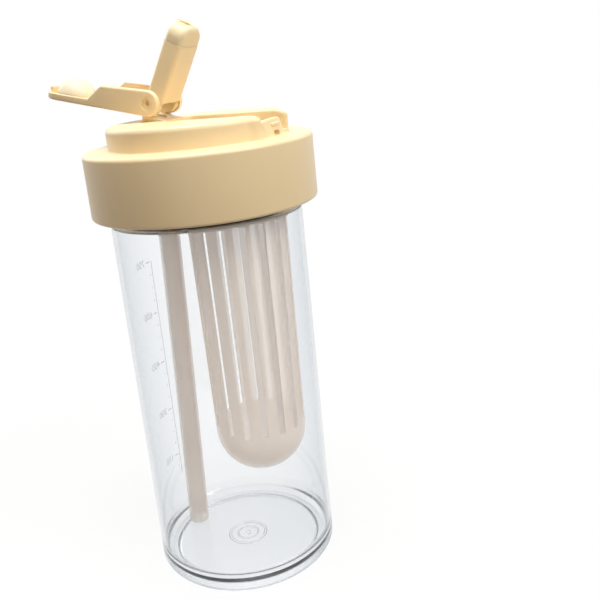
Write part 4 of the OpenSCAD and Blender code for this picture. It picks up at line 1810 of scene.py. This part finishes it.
@dataclass
class Studio:
    """Pale floor, white backdrop and soft lamps."""

    world_strength: float = 0.2
    world_colour: Colour = (1.0, 0.88, 0.74)
    floor_half: float = 4000.0
    floor_z: float = -0.02
    floor_colour: Colour = (0.9, 0.9, 0.9)
    floor_shades: Point = (0.99, 1.01)
    floor_mottle: Mottle = Mottle(30)
    floor_bounce: Colour = (0.32, 0.28, 0.24)
    glow_share: float = 0.86
    glow_from: float = 80.0
    glow_to: float = 300.0
    lamps: tuple[Lamp, ...] = (
        Lamp("key", (0.8, -0.1, 0.85), 0.5, 6.0, (1.0, 0.99, 0.97)),
        Lamp("top", (0.0, -0.1, 1.2), 0.6, 10.4, (1.0, 0.99, 0.97)),
        Lamp("rim", (-0.75, 0.2, 0.55), 0.5, 1.4, (1.0, 0.98, 0.95)))

    def world(self) -> None:
        """White where it is seen, and a soft warm level for lighting."""
        world = bpy.data.worlds.new("studio")
        bpy.context.scene.world = world
        t = Tree(world, "ShaderNodeOutputWorld")
        white = t.node("ShaderNodeBackground", None, {"Color": WHITE, "Strength": 1.0})
        soft = t.node("ShaderNodeBackground", None, {"Color": self.world_colour,
                                                     "Strength": self.world_strength})
        t.finish(t.node("ShaderNodeMixShader", None, {0: t.seen(), 1: soft, 2: white}))

    def floor(self) -> None:
        """A pale floor that reads white, keeps the shadow and throws little light back up."""
        work = bmesh.new()
        s, z = self.floor_half, self.floor_z
        work.faces.new([work.verts.new((x, y, z)) for x, y in ((-s, -s), (s, -s), (s, s), (-s, s))])
        floor = new_mesh_object("studio_floor", work)
        t = Tree(bpy.data.materials.new("studio floor"))
        shades = (tinted(self.floor_colour, shade) for shade in self.floor_shades)
        base = t.blend(self.floor_mottle.on(t), *shades)
        plain = t.node("ShaderNodeBsdfDiffuse", None, {"Color": base})
        dim = t.node("ShaderNodeBsdfDiffuse", None, {"Color": self.floor_bounce})
        bounce = t.node("ShaderNodeLightPath", out="Is Diffuse Ray")
        lit = t.node("ShaderNodeMixShader", None, {0: bounce, 1: plain, 2: dim})
        glow = t.node("ShaderNodeEmission", None, {"Color": WHITE, "Strength": 1.0})
        far = t.node("ShaderNodeVectorMath", {"operation": "LENGTH"}, {0: t.place()}, "Value")
        share = self.glow_share + far.over(self.glow_from * MM, self.glow_to * MM) * (1 - self.glow_share)
        floor.data.materials.append(t.finish(
            t.node("ShaderNodeMixShader", None, {0: t.seen() * share, 1: lit, 2: glow})))

    def build(self) -> None:
        """Builds the studio."""
        self.world()
        self.floor()
        for lamp in self.lamps:
            lamp.build()
        bpy.context.scene.view_settings.view_transform = "Standard"
        log.info("studio is ready")


@dataclass
class PhotoCamera:
    """Camera at the photograph's viewing angle, solved on the bottle's rings and edges."""

    distance: float = 338.2057
    height: float = 234.0505
    azimuth: float = 0.0893
    pitch: float = 0.2657
    roll: float = -0.1047
    focal_px: float = 748.1234
    centre: Point = (279.08, 264.94)
    turn: float = 0.567
    image: float = 600.0
    sensor: float = 36.0
    clip: Point = (0.01, 50.0)

    def build(self) -> None:
        """Makes the scene's camera."""
        look = Vector((math.sin(self.azimuth) * math.cos(self.pitch),
                       math.cos(self.azimuth) * math.cos(self.pitch), -math.sin(self.pitch)))
        look.rotate(Matrix.Rotation(self.turn, 3, "Z"))
        right = look.cross(Vector((0, 0, 1))).normalized()
        up = right.cross(look)
        across, along = math.cos(self.roll), math.sin(self.roll)
        x_axis, y_axis = right * across + up * along, up * across - right * along
        data = bpy.data.cameras.new("photo_camera")
        data.sensor_width = self.sensor
        data.lens = self.focal_px / self.image * self.sensor
        data.shift_x = (self.image / 2 - self.centre[0]) / self.image
        data.shift_y = (self.centre[1] - self.image / 2) / self.image
        data.clip_start, data.clip_end = self.clip
        camera = bpy.data.objects.new("photo_camera", data)
        bpy.context.scene.collection.objects.link(camera)
        place = Matrix((x_axis, y_axis, -look)).transposed().to_4x4()
        place.translation = Vector((self.distance * math.sin(self.turn), -self.distance * math.cos(self.turn),
                                    self.height)) * MM
        camera.matrix_world = place
        bpy.context.scene.camera = camera
        log.info("camera is ready")


def main() -> None:
    """Builds the bottle, the studio and the camera."""
    logging.basicConfig(level=logging.INFO, format="%(name)s: %(message)s")
    finishes = Finishes()
    hinge, stem = HingePlace(), StemPlace()
    for part in (BottleBody(), PrintedScale(), LidShell(hinge, stem), Spout(hinge), FlipCover(hinge),
                 HingePins(hinge), StrawLine(stem), InfuserBasket(), LidFittings()):
        log.info("building %s", type(part).__name__)
        part.build(finishes)
    Studio().build()
    PhotoCamera().build()
    bpy.context.view_layer.update()


if __name__ == "__main__":
    main()
